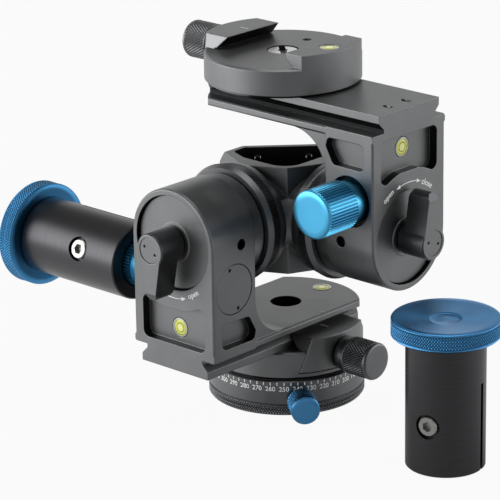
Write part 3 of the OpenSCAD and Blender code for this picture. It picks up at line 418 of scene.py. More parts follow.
def lathe(name, along, radius, place, closed=False, depth=None, **finish):
    # surface of revolution: point = (along, radius cos a, radius sin a) over section rows and equal angles a;
    # the section runs from pole to pole on the axis, or closed round a ring with a bore
    rows, columns = radius.shape
    angle = np.linspace(0, 2 * math.pi, columns, endpoint=False)
    points = np.stack([along, radius * np.cos(angle), radius * np.sin(angle)], -1).reshape(-1, 3) * mm
    r, c = np.meshgrid(np.arange(rows if closed else rows - 1), np.arange(columns), indexing="ij")
    nextRow, nextColumn = (r + 1) % rows, (c + 1) % columns
    faces = np.stack([r * columns + nextColumn, r * columns + c, nextRow * columns + c,
                      nextRow * columns + nextColumn], -1).reshape(-1, 4).tolist()
    if not closed:
        points = np.vstack([points, np.array([[along[0].mean(), 0, 0], [along[-1].mean(), 0, 0]]) * mm])
        column = np.arange(columns)
        turn = (column + 1) % columns
        faces += np.stack([np.full(columns, rows * columns), column, turn], -1).tolist()
        faces += np.stack([np.full(columns, rows * columns + 1), (rows - 1) * columns + turn,
                           (rows - 1) * columns + column], -1).tolist()
    points = points @ place[:3, :3].T + place[:3, 3]
    obj = finishMesh(name, points, faces, **finish)
    # depth, when given, is the painted shade in the grooves, kept on the mesh for the finish
    if depth is not None:
        values = np.zeros(len(points), np.float32)
        values[:depth.size] = depth.ravel()
        obj.data.attributes.new("paintedGrooveShade", "FLOAT", "POINT").data.foreach_set("value", values)
    return obj


def sectionRows(section, step, span=(-1000, 1000)):
    # points along a section given as (along, radius) corners: no further apart than step where the section
    # runs along the axis within the span, and wider apart elsewhere
    wide, steep = 2.5, 0.3
    rows = []
    for (x0, r0), (x1, r1) in zip(section[:-1], section[1:]):
        fine = span[0] < (x0 + x1) / 2 < span[1] and abs(x1 - x0) > steep * abs(r1 - r0)
        count = max(1, int(math.ceil(math.hypot(x1 - x0, r1 - r0) / (step if fine else wide))))
        rows += [(x0 + (x1 - x0) * i / count, r0 + (r1 - r0) * i / count) for i in range(count)]
    rows.append(section[-1])
    return np.array(rows)


def grid(rows, columns):
    # a section's rows repeated round the axis: the distance along it and the radius, as two arrays
    return np.repeat(rows[:, :1], columns, 1), np.repeat(rows[:, 1:], columns, 1)


def band(value, low, high, fade):
    # 1 between low and high, falling to 0 over the fade at each end
    return np.clip((value - low) / fade, 0, 1) * np.clip((high - value) / fade, 0, 1)


def knurled(rows, columns, spec):
    # diamond knurl: two sets of V grooves that cross on helices; the depth at a point is that of the deeper
    # groove there, and it fades out at the ends of the band; the third value is painted shade, largest in
    # the bottoms of the grooves
    fade, roundness = 0.35, 1.5
    along, radius = grid(rows, columns)
    angle = np.linspace(0, 2 * math.pi, columns, endpoint=False)[None, :]
    a = spec["around"] * angle / (2 * math.pi)
    b = along / spec["pitch"]
    groove = np.maximum(np.abs((a + b) % 1 - 0.5), np.abs((a - b) % 1 - 0.5)) * 2
    share = groove ** roundness * band(along, *spec["band"], fade) * (radius > spec["from"])
    return along, radius - spec["depth"] * share, share ** 2


def fluted(rows, columns, spec):
    # straight flutes: the depth follows a sine round the knob, steepened and cut off flat at both ends, and
    # fades out at the ends of the band
    # the third value is painted shade in the flutes' bottoms, scaled by the cut's dark weight
    along, radius = grid(rows, columns)
    angle = np.linspace(0, 2 * math.pi, columns, endpoint=False)[None, :]
    wave = np.clip(0.5 + spec["edge"] * np.sin(spec["around"] * angle), 0, 1)
    share = wave * band(along, *spec["band"], spec["fade"]) * (radius > spec["from"])
    return along, radius - spec["depth"] * share, spec["dark"] * share


def turnedPieces(cut, rows, shape, look, placed, **finish):
    # one turned form at each of its places, with the knurl or the flutes that its shape asks for
    # the cut's third value is the painted shade in its grooves
    along, radius, depth = cut(rows, shape["columns"], shape["cuts"])
    for name, axis, origin, node, place in placed:
        lathe(name, along, radius, axisFrame(axis, origin), depth=depth, material=turned[look, place],
              node=node, **finish)


blackPart = {"slot": "black_anodised_aluminium", "stands": True}
bluePart = {"slot": "blue_anodised_aluminium", "stands": True}

# clamp knobs: smooth neck, diamond-knurled grip, rounded front edge, and a bore for the screw
clampKnob = {"back": 33.8, "shoulder": 38.1, "front": 51.8, "neck": 7.4, "grip": 8.2, "round": 1.4,
             "bore": 2.53, "boreEnd": 45.8, "columns": 344,
             "cuts": {"around": 43, "pitch": 2.0, "depth": 0.42, "band": (38.9, 50.2), "from": 7.9}}
k = clampKnob
frontRound = [(k["front"] - k["round"] * (1 - math.sin(t)), k["grip"] - k["round"] * (1 - math.cos(t)))
              for t in np.linspace(math.pi / 2, 0, 6)]
knobSection = ([(k["front"], 0.4)] + frontRound
               + [(k["shoulder"] + 0.5, k["grip"]), (k["shoulder"], k["neck"]), (k["back"] + 0.5, k["neck"]),
                  (k["back"], k["neck"] - 0.5), (k["back"], k["bore"]), (k["boreEnd"], k["bore"]),
                  (k["boreEnd"], 0.3)])
turnedPieces(knurled, sectionRows(knobSection, step=0.24, span=(38.4, 51)), k, "graphite", (
    ("baseClampKnobKnurled", (1, 0, 0), (0, 0, 24.4), "base_clamp_knob", "upperTilt"),
    ("topClampKnobKnurled", (-1, 0, 0), (0, 0, 148.6), "top_clamp_knob", "upperTilt")), sharp=50, **blackPart)

# drive knobs: deep flutes with painted shade in their bottoms, smooth neck, small chamfer round the face
driveKnob = {"face": 46.5, "shoulder": 28.3, "inner": 19.6, "grip": 10.3, "neck": 9.2, "bore": 2.43,
             "boreEnd": 31.5, "columns": 480,
             "cuts": {"around": 48, "edge": 1.6, "depth": 0.6, "band": (27.9, 46.0), "fade": 0.8, "from": 9.6,
                      "dark": 0.55}}
k = driveKnob
driveSection = [(k["face"], 0.4), (k["face"], k["grip"] - 1.1), (k["face"] - 0.25, k["grip"] - 0.6),
                (k["face"] - 0.8, k["grip"]), (k["shoulder"] + 0.3, k["grip"]), (k["shoulder"], k["neck"]),
                (k["inner"] + 0.6, k["neck"]), (k["inner"], k["neck"] - 0.6), (k["inner"], k["bore"]),
                (k["boreEnd"], k["bore"]), (k["boreEnd"], 0.3)]
turnedPieces(fluted, sectionRows(driveSection, step=0.8, span=(27, 47)), k, "skyBlue", (
    ("lowerDriveKnobFluted", (-1, 0, 0), lowerWorm, "lower_drive_knob", "lower"),
    ("upperDriveKnobFluted", (0, -1, 0), upperWorm, "upper_drive_knob", "upper")), sharp=50, **bluePart)

# lock knob of the pan base: fine knurl round it, flat face with a broken edge
lockKnob = {"turn": -37.7, "height": 6.5, "stubEnd": 34.3, "back": 34.9, "front": 45.9, "grip": 6.2,
            "stub": 3.6, "bore": 2.03, "boreEnd": 40.4, "columns": 416,
            "cuts": {"around": 34, "pitch": 1.3, "depth": 0.3, "band": (35.6, 45.3), "from": 5.9}}
k = lockKnob
lockSection = [(k["front"], 0.3), (k["front"], k["grip"] - 0.6), (k["front"] - 0.55, k["grip"]),
               (k["back"] + 0.5, k["grip"]), (k["back"], k["grip"] - 0.5), (k["back"], k["stub"]),
               (k["stubEnd"], k["stub"]), (k["stubEnd"], k["bore"]), (k["boreEnd"], k["bore"]),
               (k["boreEnd"], 0.3)]
t = math.radians(k["turn"])
turnedPieces(knurled, sectionRows(lockSection, step=0.25, span=(35, 45.6)), k, "deepBlue", (
    ("lockKnobKnurled", (math.cos(t), math.sin(t), 0), (0, 0, k["height"]), "pan_lock_knob", "lock"),),
    sharp=50, **bluePart)

# discs of the handles: fine knurl round the rim, dished top with a shallow dimple, bright chamfers
disc = {"radius": 22.5, "low": 56.1, "thick": 7.8, "stub": 3.0, "stubEnd": 47.1, "columns": 826,
        "cuts": {"around": 118, "pitch": 1.5, "depth": 0.45, "band": (57.0, 63.1), "from": 22.2}}
k = disc
top = k["low"] + k["thick"]
discSection = ([(k["stubEnd"], 0.3), (k["stubEnd"], k["stub"]), (k["low"] + 0.05, k["stub"]),
                (k["low"] + 0.05, k["radius"] - 0.7), (k["low"] + 0.7, k["radius"]), (top - 0.7, k["radius"]),
                (top - 0.2, k["radius"] - 0.35), (top, k["radius"] - 1.2)]
               + [(top - (1 - (r / 21.3) ** 2), r) for r in (19, 16, 13, 10, 7.5, 6.2)]
               + [(top - 1.15, 5.8), (top - 1.3, 4.5), (top - 1.35, 2.5), (top - 1.35, 0.4)])
turnedPieces(knurled, sectionRows(discSection, step=0.28, span=(56.6, 63.4)), k, "deepBlue", (
    ("fittedDiscKnurled", (-1, 0, 0), fittedHandle, "handle_disc", "lower"),
    ("spareDiscKnurled", (0, 0, 1), spareHandle, "spare_handle_disc", "spare")), sharp=50, **bluePart)

# graduated rings on the tilt axes: bright chamfer, fine teeth that run out on the cone, painted shade between
# the teeth
tiltRing = {"columns": 1080,
            "cuts": {"around": 180, "edge": 0.9, "depth": 0.45, "band": (28.6, 34.55), "fade": 0.7,
                     "from": 24.3, "dark": 1.0},
            "section": [(25.3, 17.03), (25.3, 23.8), (26.3, 24.0), (34.3, 25.5), (36.5, 24.1), (36.5, 21.5),
                        (29.7, 21.5), (29.7, 17.03)]}
k = tiltRing
turnedPieces(fluted, sectionRows(k["section"] + k["section"][:1], step=0.6)[:-1], k, "graphite", (
    ("lowerRingToothed", (0, -1, 0), (0, 0, axisZ), "lower_scale_ring", "lowerTilt"),
    ("upperRingToothed", (1, 0, 0), (0, 0, axisZ), "upper_scale_ring", "upperTilt")), closed=True, sharp=35,
    **blackPart)
print("turned and knurled parts ready")

# scale ring of the base: the CAD part with its foot turned down, and a knurled band round it
baseFoot = {"turnedFrom": 33.9, "turnedTo": 33.5, "turnedSpan": (0.4, 4.8), "band": (0.62, 4.4),
            "inner": 33.3, "outer": 34.0, "corner": 0.15, "columns": 1246,
            "cuts": {"around": 178, "pitch": 1.6, "depth": 0.5, "band": (0.7, 4.4), "from": 33.8}}
k = baseFoot
ringCopy = machinedCopy("base_ring", turned["graphite", "pan"], {})
corners = np.empty(len(ringCopy.data.vertices) * 3)
ringCopy.data.vertices.foreach_get("co", corners)
corners = corners.reshape(-1, 3)
reach = np.hypot(corners[:, 0], corners[:, 1])
low, high = k["turnedSpan"]
onFoot = (reach > k["turnedFrom"] * mm) & (corners[:, 2] > low * mm) & (corners[:, 2] < high * mm)
corners[onFoot, :2] *= (k["turnedTo"] * mm / reach[onFoot])[:, None]
ringCopy.data.vertices.foreach_set("co", corners.ravel())
low, high = k["band"]
footRows = sectionRows([(low, k["inner"]), (low, k["outer"] - k["corner"]), (low + k["corner"], k["outer"]),
                        (high - k["corner"], k["outer"]), (high, k["outer"] - k["corner"]), (high, k["inner"]),
                        (low, k["inner"])], step=0.26)[:-1]
turnedPieces(knurled, footRows, k, "graphite", (
    ("baseFootKnurled", (0, 0, 1), (0, 0, 0), "base_ring", "pan"),), closed=True, sharp=40,
    slot="black_anodised_aluminium")

# tubes of the handles: a socket for the drive knob, a slit beside it a quarter turn from the set screw
slipTube = {"radius": 16.5, "length": 56.1, "socket": 10.8, "socketDeep": 26, "slit": (2.0, 38),
            "screwAt": 21.5, "screwHole": 2.53, "counterbore": 5.3, "seat": 13.5, "stub": 3.03,
            "stubDeep": 46.1, "columns": 144}


def rod(radius, low, high):
    # a round bar along x: two rings of points and two flat ends
    sides = 48
    angle = np.linspace(0, 2 * math.pi, sides, endpoint=False)
    ring = np.stack([np.zeros(sides), radius * np.cos(angle), radius * np.sin(angle)], -1)
    points = np.vstack([ring + (low, 0, 0), ring + (high, 0, 0)])
    faces = [[i, (i + 1) % sides, sides + (i + 1) % sides, sides + i] for i in range(sides)]
    return points, faces + [list(range(sides))[::-1], list(range(sides, 2 * sides))]


def slipTubePiece(name, place, screwTowards, node, look):
    # lathe section of the tube, then the screw's hole and the slit cut out of it
    k = slipTube
    section = [(k["stubDeep"], 0.4), (k["stubDeep"], k["stub"]), (k["length"], k["stub"]),
               (k["length"], k["radius"] - 0.5), (k["length"] - 0.5, k["radius"]), (0.5, k["radius"]),
               (0, k["radius"] - 0.5), (0, k["socket"]), (k["socketDeep"], k["socket"]),
               (k["socketDeep"], 0.4)]
    obj = lathe(name, *grid(sectionRows(section, step=3), k["columns"]), np.eye(4), node=node,
                material=turned["black", look], sharp=40, **blackPart)
    w, deep = k["slit"]
    corners = [(x, y, z) for x in (-1, deep) for y in (0, k["radius"] + 1) for z in (-w / 2, w / 2)]
    box = [[0, 1, 3, 2], [4, 6, 7, 5], [0, 4, 5, 1], [2, 3, 7, 6], [0, 2, 6, 4], [1, 5, 7, 3]]
    shapes = [(np.array(corners), box)]
    for radius, low in ((k["screwHole"], 0), (k["counterbore"], k["seat"])):
        points, faces = rod(radius, low, k["radius"] + 1)
        shapes.append((np.stack([k["screwAt"] + points[:, 1], points[:, 2], -points[:, 0]], -1), faces))
    cutters = [meshObject("cutter", points * mm, faces) for points, faces in shapes]
    for tool in cutters:
        cut = obj.modifiers.new("cut", "BOOLEAN")
        cut.operation, cut.solver, cut.object = "DIFFERENCE", "EXACT", tool
    graph = bpy.context.evaluated_depsgraph_get()
    mesh = bpy.data.meshes.new_from_object(obj.evaluated_get(graph), depsgraph=graph)
    obj.modifiers.clear()
    for tool in cutters:
        bpy.data.objects.remove(tool)
    aim = Matrix(place.tolist()).to_3x3().inverted() @ Vector(screwTowards)
    mesh.transform(Matrix(place.tolist()) @ Matrix.Rotation(math.atan2(aim.y, -aim.z), 4, "X"))
    obj.data = mesh
    smoothPiece(obj, 40)


for name, axis, origin, screwTowards, node, look in (
        ("fittedTubeSlit", (-1, 0, 0), fittedHandle, (0, -0.953, 0.302), "handle_tube", "lower"),
        ("spareTubeSlit", (0, 0, 1), spareHandle, (0.208, -0.978, 0), "spare_handle_tube", "spare")):
    slipTubePiece(name, axisFrame(axis, origin), screwTowards, node, look)
print("handle tubes ready")


def printFinish():
    # screen-printed white: matt, a little uneven in its cover
    spec = {"colour": "#fcfcfa", "metallic": 0.0, "roughness": 0.6, "tone": (0.96, 1.0)}
    material, tree, shader = newMaterial("whitePrint", spec)
    cover = addNode(tree, "ShaderNodeTexNoise", {"Scale": 1 / (0.8 * mm)}, {"Vector": objectPoint(tree)})
    tree.links.new(tintedColour(tree, spec, cover.outputs["Fac"]), shader.inputs["Base Color"])
    return material


whitePrint = printFinish()
inkThick, inkSunk = 0.03, 0.005     # ink that shows, and how far it reaches into the metal, in mm


def flatShape(outline, thickness):
    # a thin flat plate with the given outline, in mm: the front above, the back below, a wall round them
    n = len(outline)
    points = [(u, v, 0.0) for u, v in outline] + [(u, v, thickness) for u, v in outline]
    faces = [list(range(n))[::-1], list(range(n, 2 * n))]
    faces += [[i, (i + 1) % n, n + (i + 1) % n, n + i] for i in range(n)]
    return np.array(points), faces


def textShape(words, height, thickness):
    # printed word as a thin mesh about its middle, a little bolder than the plain font, and scaled so that its
    # tallest letter has the height in mm
    curve = bpy.data.curves.new("words", "FONT")
    curve.body = words
    curve.align_x = "CENTER"
    curve.extrude = 0.01
    curve.offset = 0.012
    curve.resolution_u = 3
    holder = bpy.data.objects.new("words", curve)
    mesh = holder.to_mesh()
    points = np.empty(len(mesh.vertices) * 3)
    mesh.vertices.foreach_get("co", points)
    points = points.reshape(-1, 3)
    faces = [list(p.vertices) for p in mesh.polygons]
    low, high = points.min(0), points.max(0)
    scale = height / (high[1] - low[1])
    points = (points - (low + high) / 2) * scale
    points[:, 2] = np.where(points[:, 2] > 0, thickness, 0)
    holder.to_mesh_clear()
    bpy.data.objects.remove(holder)
    bpy.data.curves.remove(curve)
    return points, faces


def joinShapes(shapes):
    # many small meshes as one list of points and faces
    points, faces, start = [], [], 0
    for p, f in shapes:
        points.append(p)
        faces += [[start + i for i in face] for face in f]
        start += len(p)
    return np.vstack(points), faces


# dial of the base: numbers that fall to the right, and ticks between and above them
dial = {"radius": 34.0, "zeroAt": 200.3, "digits": 2.15, "digitsAt": 12.1, "numberEvery": 10,
        "tick": (0.42, 1.35), "tickTop": 15.0, "tickEvery": 5}


def wrapOnDial(shape, degrees, height):
    # rolls a flat shape onto the dial: the angle is its place's plus u over the dial's radius, and v is up
    points, faces = shape
    angle = math.radians(degrees) + points[:, 0] / dial["radius"]
    reachOut = dial["radius"] - inkSunk + points[:, 2]
    return np.stack([reachOut * np.cos(angle), reachOut * np.sin(angle), height + points[:, 1]], -1), faces


shapes = [wrapOnDial(textShape(str(number), dial["digits"], inkThick), dial["zeroAt"] - number,
                     dial["digitsAt"]) for number in range(0, 360, dial["numberEvery"])]
w, h = dial["tick"]
tick = flatShape([(-w / 2, -h), (w / 2, -h), (w / 2, 0), (-w / 2, 0)], inkThick)
shapes += [wrapOnDial(tick, dial["zeroAt"] + degrees, dial["tickTop"])
           for degrees in range(0, 360, dial["tickEvery"])]
points, faces = joinShapes(shapes)
finishMesh("dialNumbers", points * mm, faces, whitePrint, "base_ring", "black_anodised_aluminium", sharp=30)

# lever marks on both outer faces: an arc with arrow heads, and the words at its ends; the arc's ends and the
# words' middles in degrees, above the axis or below it, and the words' lengths in mm
leverMarks = {"radius": 23.8, "open": 6.6, "close": 7.5, "line": 0.32, "head": (2.6, 1.7), "arc": (110, 72),
              "above": {"open": 122.3, "close": 60.8}, "below": {"close": -121, "open": -60}}


def arcPoint(radius, angle):
    # a point on a circle round the tilt axis: the radius times the angle's cosine and sine
    return (radius * math.cos(angle), radius * math.sin(angle))


def faceMarks(sign):
    # shapes in the face's own plane, u to the right and v up; sign is 1 for marks above the axis and -1 for
    # marks under it, where the words stand with their feet away from the axis; a letter's angle is that of the
    # word's middle plus u over the radius, and its v goes to the radius
    m = leverMarks
    start, end = (math.radians(degrees) for degrees in m["arc"])
    headLength, headWidth = m["head"]
    spread = headLength / m["radius"]
    arc = np.linspace(start - spread, end + spread, 14)
    outline = [arcPoint(m["radius"] + m["line"] / 2, t) for t in arc]
    outline += [arcPoint(m["radius"] - m["line"] / 2, t) for t in arc[::-1]]
    shapes = [flatShape(outline, inkThick)]
    for tip, backAt in ((start, start - spread), (end, end + spread)):
        shapes.append(flatShape([arcPoint(m["radius"], tip), arcPoint(m["radius"] + headWidth / 2, backAt),
                                 arcPoint(m["radius"] - headWidth / 2, backAt)], inkThick))
    if sign < 0:
        shapes = [(np.stack([p[:, 0], -p[:, 1], p[:, 2]], -1), [face[::-1] for face in f]) for p, f in shapes]
    for words, at in m["above" if sign > 0 else "below"].items():
        p, f = textShape(words, 1.0, inkThick)
        p[:, :2] *= m[words] / (p[:, 0].max() - p[:, 0].min())
        angle = math.radians(at) - sign * p[:, 0] / m["radius"]
        reachOut = m["radius"] + sign * p[:, 1]
        shapes.append((np.stack([reachOut * np.cos(angle), reachOut * np.sin(angle), p[:, 2]], -1), f))
    return joinShapes(shapes)


for name, node, sign in (("lowerLeverMarks", "lower_bracket", -1), ("upperLeverMarks", "upper_bracket", 1)):
    points, faces = faceMarks(sign)
    across, upAxis, proud = points.T
    front = facePlane - inkSunk + proud
    world = np.stack([across, -front, axisZ + upAxis] if sign < 0 else [front, across, axisZ + upAxis], -1)
    finishMesh(name, world * mm, faces, whitePrint, node, "grey_anodised_aluminium", sharp=30)

# index lines: on the arm's edge, and on both sliding jaws; node, ends in x, height and y in mm
indexWidth = 0.26
indexLines = {"lowerArmIndex": ("lower_bracket", (19.2, 22.6), 39.72, 0.5),
              "baseJawIndex": ("base_clamp_jaw", (19.6, 24.6), 33.8, 0.0),
              "topJawIndex": ("top_clamp_jaw", (-24.6, -19.6), 158.0, 0.0)}
for name, (node, (x0, x1), z, y) in indexLines.items():
    y0, y1 = y - indexWidth / 2, y + indexWidth / 2
    points, faces = flatShape([(x0, y0), (x1, y0), (x1, y1), (x0, y1)], inkThick)
    points[:, 2] += z - inkSunk
    finishMesh(name, points * mm, faces, whitePrint, node, "grey_anodised_aluminium", sharp=30)
print("printing ready")


def vialFinish():
    # bubble level: yellow-green fluid under clear acrylic; the tone follows the distance from the vial's axis,
    # kept on the mesh: the bubble, its circle line, fluid, the window's line, clear rim, and the black seat
    spec = {"colour": "#dfe35a", "metallic": 0.0, "roughness": 0.15}
    material, tree, shader = newMaterial("levelVial", spec, **{"Coat Weight": 0.5, "Coat Roughness": 0.05})
    distance = addNode(tree, "ShaderNodeAttribute", {"attribute_name": "fromAxis"}).outputs["Fac"]
    ramp = addNode(tree, "ShaderNodeValToRGB", links={"Fac": distance})
    ramp.color_ramp.interpolation = "LINEAR"
    stops = [(0.0, "#f2f4a0"), (0.38, "#eef08c"), (0.42, "#55581c"), (0.46, "#55581c"), (0.5, "#dfe35a"),
             (0.74, "#cfd548"), (0.77, "#5c6028"), (0.8, "#c9ccc0"), (0.92, "#b4b8ac"), (0.95, "#262824")]
    while len(ramp.color_ramp.elements) < len(stops):
        ramp.color_ramp.elements.new(0.5)
    for element, (at, colour) in zip(ramp.color_ramp.elements, stops):
        element.position = at
        element.color = linearColour(colour)
    cloud = addNode(tree, "ShaderNodeTexNoise", {"Scale": 1 / (3 * mm)}, {"Vector": objectPoint(tree)})
    tone = addNode(tree, "ShaderNodeMapRange", {"To Min": 0.9, "To Max": 1.05},
                   {"Value": cloud.outputs["Fac"]})
    paint = addNode(tree, "ShaderNodeMix", timesColour,
                    {6: ramp.outputs["Color"], 7: tone.outputs["Result"]})
    tree.links.new(paint.outputs[2], shader.inputs["Base Color"])
    return material


levelVial = vialFinish()
# bubble levels: a cup with a broken rim and a slightly domed window, sunk within it; below them where each
# sits, which way it faces, and its node
vialShape = {"radius": 4.39, "deep": 1.9, "rim": 0.25, "window": 3.45, "columns": 64}
vials = {"lowerFaceLevel": ((0, -65.5, 46.1), (0, -1, 0), "lower_levels"),
         "armLevel": ((0, 23.6, 39.8), (0, 0, 1), "lower_levels"),
         "upperFaceLevel": ((65.5, 0, 122.3), (1, 0, 0), "upper_level"),
         "topLevel": ((26.03, 0, 157.8), (0, 0, 1), "top_level")}
k = vialShape
vialRows = sectionRows([(-k["deep"], 0.3), (-k["deep"], k["radius"]), (-k["rim"], k["radius"]),
                        (0, k["radius"] - k["rim"]), (0, k["window"]), (-0.18, k["window"] - 0.1),
                        (-0.1, k["window"] - 0.25), (0.0, 2.0), (0.03, 0.3)], step=0.2)
fromAxis = np.concatenate([np.repeat(vialRows[:, 1], k["columns"]), [0, 0]]) / k["radius"]
for name, (centre, axis, node) in vials.items():
    obj = lathe(name, *grid(vialRows, k["columns"]), axisFrame(axis, centre), material=levelVial, node=node,
                slot="bubble_level", sharp=60, stands=name != "armLevel")
    layer = obj.data.attributes.new("fromAxis", "FLOAT", "POINT")
    layer.data.foreach_set("value", fromAxis.astype(np.float32))


def acetalFinish():
    # black acetal washer: dull, with a fine grain
    material, tree, shader = newMaterial("blackAcetal",
                                         {"colour": "#191919", "metallic": 0.0, "roughness": 0.6})
    grain = addNode(tree, "ShaderNodeTexNoise", {"Scale": 1 / (0.6 * mm)}, {"Vector": objectPoint(tree)})
    bump = addNode(tree, "ShaderNodeBump", {"Strength": 0.2, "Distance": 0.03 * mm},
                   {"Height": grain.outputs["Fac"]})
    tree.links.new(bump.outputs["Normal"], shader.inputs["Normal"])
    return material


blackAcetal = acetalFinish()
lookOfSlot = {"grey_anodised_aluminium": greyBlasted, "black_anodised_aluminium": turned["black", "pan"],
              "blue_anodised_aluminium": turned["deepBlue", "spare"], "turned_steel": turned["steel", "pan"],
              "bright_screw": turned["steel", "pan"], "black_screw": turned["black", "pan"],
              "bronze": turned["bronze", "pan"], "thrust_washer": blackAcetal, "bubble_level": levelVial}
# the screws inside the centre block's pocket are drawn black as painted shade; the set screws are nickel
lookOfNode = {"center_cover_screws": turned["black", "pan"], "lower_spindle_screws": turned["black", "pan"],
              "upper_spindle_screws": turned["black", "pan"], "handle_screw": turned["nickel", "pan"],
              "spare_handle_screw": turned["nickel", "pan"]}
slotOfNode = {part["node"]: part["material_slot"] for part in frame["record"]["subparts"]}
for nodeName, node in frame["nodes"].items():
    if not node.hide_render:
        node.data.materials.clear()
        node.data.materials.append(lookOfNode.get(nodeName, lookOfSlot[slotOfNode[nodeName]]))
        smoothPiece(node, 30)
print("levels and inner parts ready")

# camera at the photograph's place: azimuth, elevation and roll in degrees, distances in mm
cameraFit = {"azimuth": 42.543, "elevation": 19.01, "roll": -0.731, "distance": 1272.09,
             "target": (0, 0, 80), "slide": (-3.596, -18.585), "lens": 213.6, "shift": (-0.054, 0.0124)}
a, e, roll = (math.radians(cameraFit[k]) for k in ("azimuth", "elevation", "roll"))
back = Vector((math.sin(a) * math.cos(e), -math.cos(a) * math.cos(e), math.sin(e)))
right = Vector((math.cos(a), math.sin(a), 0))
up = back.cross(right)
place = Vector(cameraFit["target"]) + right * cameraFit["slide"][0] + up * cameraFit["slide"][1]
place = (place + back * cameraFit["distance"]) * mm
rightRolled = right * math.cos(roll) + up * math.sin(roll)
upRolled = up * math.cos(roll) - right * math.sin(roll)
camera = addObject("camera", bpy.data.cameras.new("camera"))
camera.matrix_world = Matrix((rightRolled, upRolled, back)).transposed().to_4x4()
camera.location = place
camera.data.sensor_width = 36
camera.data.lens = cameraFit["lens"]
camera.data.shift_x, camera.data.shift_y = cameraFit["shift"]
camera.data.clip_start, camera.data.clip_end = 0.05, 20
bpy.context.scene.camera = camera

# studio: soft boxes to the left, right and overhead, pale backdrop behind, and a dark room towards the
# camera, whose side of the floor is mirrored darker too; a glow is given by the cosines where it starts and is
# full, and its strengths there, and a lamp by its place from the middle of the object, size and watts
studio = {"middle": (0.01, -0.02, 0.07), "paper": "#fbfbfb", "floor": "#dcdcdc",
          "left": (0.3, 0.9, 0.0, 2.0), "right": (0.3, 0.95, 0.0, 1.05), "room": (0.1, 0.6, 0.36, 0.12),
          "overhead": (0.86, 0.97, 0.0, 2.2), "lowDown": (0.25, 0.7, 1.0, 0.0),
          "behind": (0.25, 0.7, 0.0, 1.0),
          "leftLamp": {"side": -0.9, "towards": 0.05, "high": 0.22, "size": (0.9, 0.6), "power": 3.2},
          "rightLamp": {"side": 0.9, "towards": -0.1, "high": 0.25, "size": (0.5, 0.5), "power": 1.2},
          "floorShown": 0.98, "floorMirrored": 0.85, "floorLeft": 1.1, "floorRight": 0.78, "floorFront": 0.42}
flatBack = Vector((back.x, back.y, 0)).normalized()
for name in ("leftLamp", "rightLamp"):
    box = studio[name]
    lamp = bpy.data.lights.new(name, "AREA")
    lamp.shape = "RECTANGLE"
    lamp.size, lamp.size_y = box["size"]
    lamp.energy = box["power"]
    away = right * box["side"] + flatBack * box["towards"] + Vector((0, 0, box["high"]))
    obj = addObject(name, lamp)
    obj.location = Vector(studio["middle"]) + away
    obj.rotation_mode = "QUATERNION"
    obj.rotation_quaternion = (-away).to_track_quat("-Z", "Y")

room = bpy.data.worlds.new("studioWorld")
bpy.context.scene.world = room
tree = emptyTree(room)
direction = addNode(tree, "ShaderNodeTexCoord").outputs["Generated"]


def sideGlow(towards, start, full, low, high):
    # how bright the room is towards one side: a smooth step of the cosine to that side
    cosine = addNode(tree, "ShaderNodeVectorMath", {"operation": "DOT_PRODUCT", 1: towards}, {0: direction})
    return addNode(tree, "ShaderNodeMapRange", {"interpolation_type": "SMOOTHSTEP", "From Min": start,
                                                "From Max": full, "To Min": low, "To Max": high},
                   {"Value": cosine.outputs["Value"]}).outputs["Result"]


upwards = Vector((0, 0, 1))
sockets = {name: sideGlow(towards, *studio[name]) for name, towards in (
    ("left", -right), ("right", right), ("room", upwards), ("overhead", upwards), ("lowDown", upwards),
    ("behind", -flatBack))}
rays = addNode(tree, "ShaderNodeLightPath").outputs
for name in ("Camera", "Diffuse", "Glossy", "Transmission"):
    sockets[name] = rays["Is " + name + " Ray"]
for result, operation, first, second in (
        ("backdrop", "MULTIPLY", "behind", "lowDown"), ("sides", "ADD", "left", "right"),
        ("sides", "MULTIPLY", "sides", "lowDown"), ("glow", "ADD", "sides", "room"),
        ("glow", "ADD", "glow", "overhead"), ("mirror", "MAXIMUM", "Glossy", "Transmission"),
        ("mirrored", "MULTIPLY", "mirror", "backdrop"), ("shown", "MAXIMUM", "Camera", "mirrored"),
        ("fill", "MULTIPLY", "backdrop", "Diffuse"), ("strength", "ADD", "glow", "fill")):
    sockets[result] = addNode(tree, "ShaderNodeMath", {"operation": operation},
                              {0: sockets[first], 1: sockets[second]}).outputs["Value"]
lit = addNode(tree, "ShaderNodeBackground", {"Color": (1, 1, 1, 1)}, {"Strength": sockets["strength"]})
paper = addNode(tree, "ShaderNodeBackground", {"Color": linearColour(studio["paper"]), "Strength": 1.0})
mixed = addNode(tree, "ShaderNodeMixShader",
                links={"Fac": sockets["shown"], 1: lit.outputs[0], 2: paper.outputs[0]})
addNode(tree, "ShaderNodeOutputWorld", links={"Surface": mixed.outputs[0]})

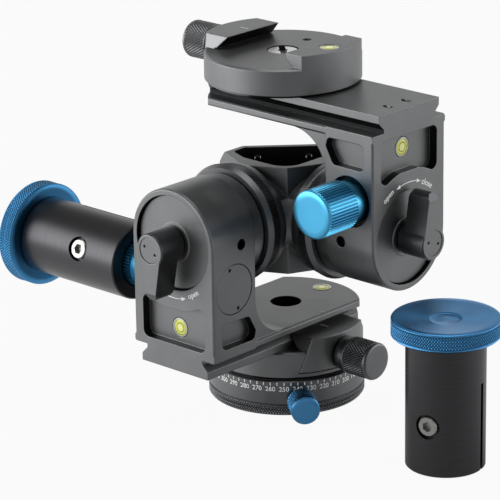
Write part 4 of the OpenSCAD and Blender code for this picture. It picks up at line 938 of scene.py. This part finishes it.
half, under = 1.5, -0.0002      # the floor lies a hair under the base
floorMesh = bpy.data.meshes.new("floor")
floorMesh.from_pydata([(-half, -half, under), (half, -half, under), (half, half, under), (-half, half, under)],
                      [], [(0, 1, 2, 3)])
addObject("floor", floorMesh)
paleFloor = bpy.data.materials.new("paleFloor")
tree = emptyTree(paleFloor)
rays = addNode(tree, "ShaderNodeLightPath").outputs
plain = addNode(tree, "ShaderNodeBsdfDiffuse", {"Color": linearColour(studio["floor"])})
glow = addNode(tree, "ShaderNodeEmission", {"Color": linearColour(studio["paper"]), "Strength": 1.0})
# in reflections the floor glows with painted light, brighter to the left and dimmer to the right, with painted
# shade on the side towards the camera
spot = addNode(tree, "ShaderNodeTexCoord").outputs["Object"]
outwards = addNode(tree, "ShaderNodeVectorMath", {"operation": "NORMALIZE"}, {0: spot}).outputs["Vector"]
across = addNode(tree, "ShaderNodeVectorMath", {"operation": "DOT_PRODUCT", 1: right}, {0: outwards})
towards = addNode(tree, "ShaderNodeVectorMath", {"operation": "DOT_PRODUCT", 1: flatBack}, {0: outwards})
sides = addNode(tree, "ShaderNodeMapRange", {"From Min": -0.8, "From Max": 0.8, "To Min": studio["floorLeft"],
                                             "To Max": studio["floorRight"]},
                {"Value": across.outputs["Value"]})
front = addNode(tree, "ShaderNodeMapRange", {"interpolation_type": "SMOOTHSTEP", "From Min": 0.3,
                                             "From Max": 0.9, "To Min": 1.0, "To Max": studio["floorFront"]},
                {"Value": towards.outputs["Value"]})
level = addNode(tree, "ShaderNodeMath", {"operation": "MULTIPLY"},
                {0: sides.outputs["Result"], 1: front.outputs["Result"]})
mirrorGlow = addNode(tree, "ShaderNodeEmission", {"Color": linearColour(studio["paper"])},
                     {"Strength": level.outputs["Value"]})
mirror = addNode(tree, "ShaderNodeMath", {"operation": "MAXIMUM"},
                 {0: rays["Is Glossy Ray"], 1: rays["Is Transmission Ray"]})
mirrored = addNode(tree, "ShaderNodeMath", {"operation": "MULTIPLY", 1: studio["floorMirrored"]},
                   {0: mirror.outputs["Value"]})
seen = addNode(tree, "ShaderNodeMath", {"operation": "MULTIPLY", 1: studio["floorShown"]},
               {0: rays["Is Camera Ray"]})
inMirror = addNode(tree, "ShaderNodeMixShader",
                   links={"Fac": mirrored.outputs["Value"], 1: plain.outputs[0], 2: mirrorGlow.outputs[0]})
mixed = addNode(tree, "ShaderNodeMixShader",
                links={"Fac": seen.outputs["Value"], 1: inMirror.outputs[0], 2: glow.outputs[0]})
addNode(tree, "ShaderNodeOutputMaterial", links={"Surface": mixed.outputs[0]})
floorMesh.materials.append(paleFloor)

bpy.context.scene.view_settings.view_transform = "Standard"
print("studio ready")
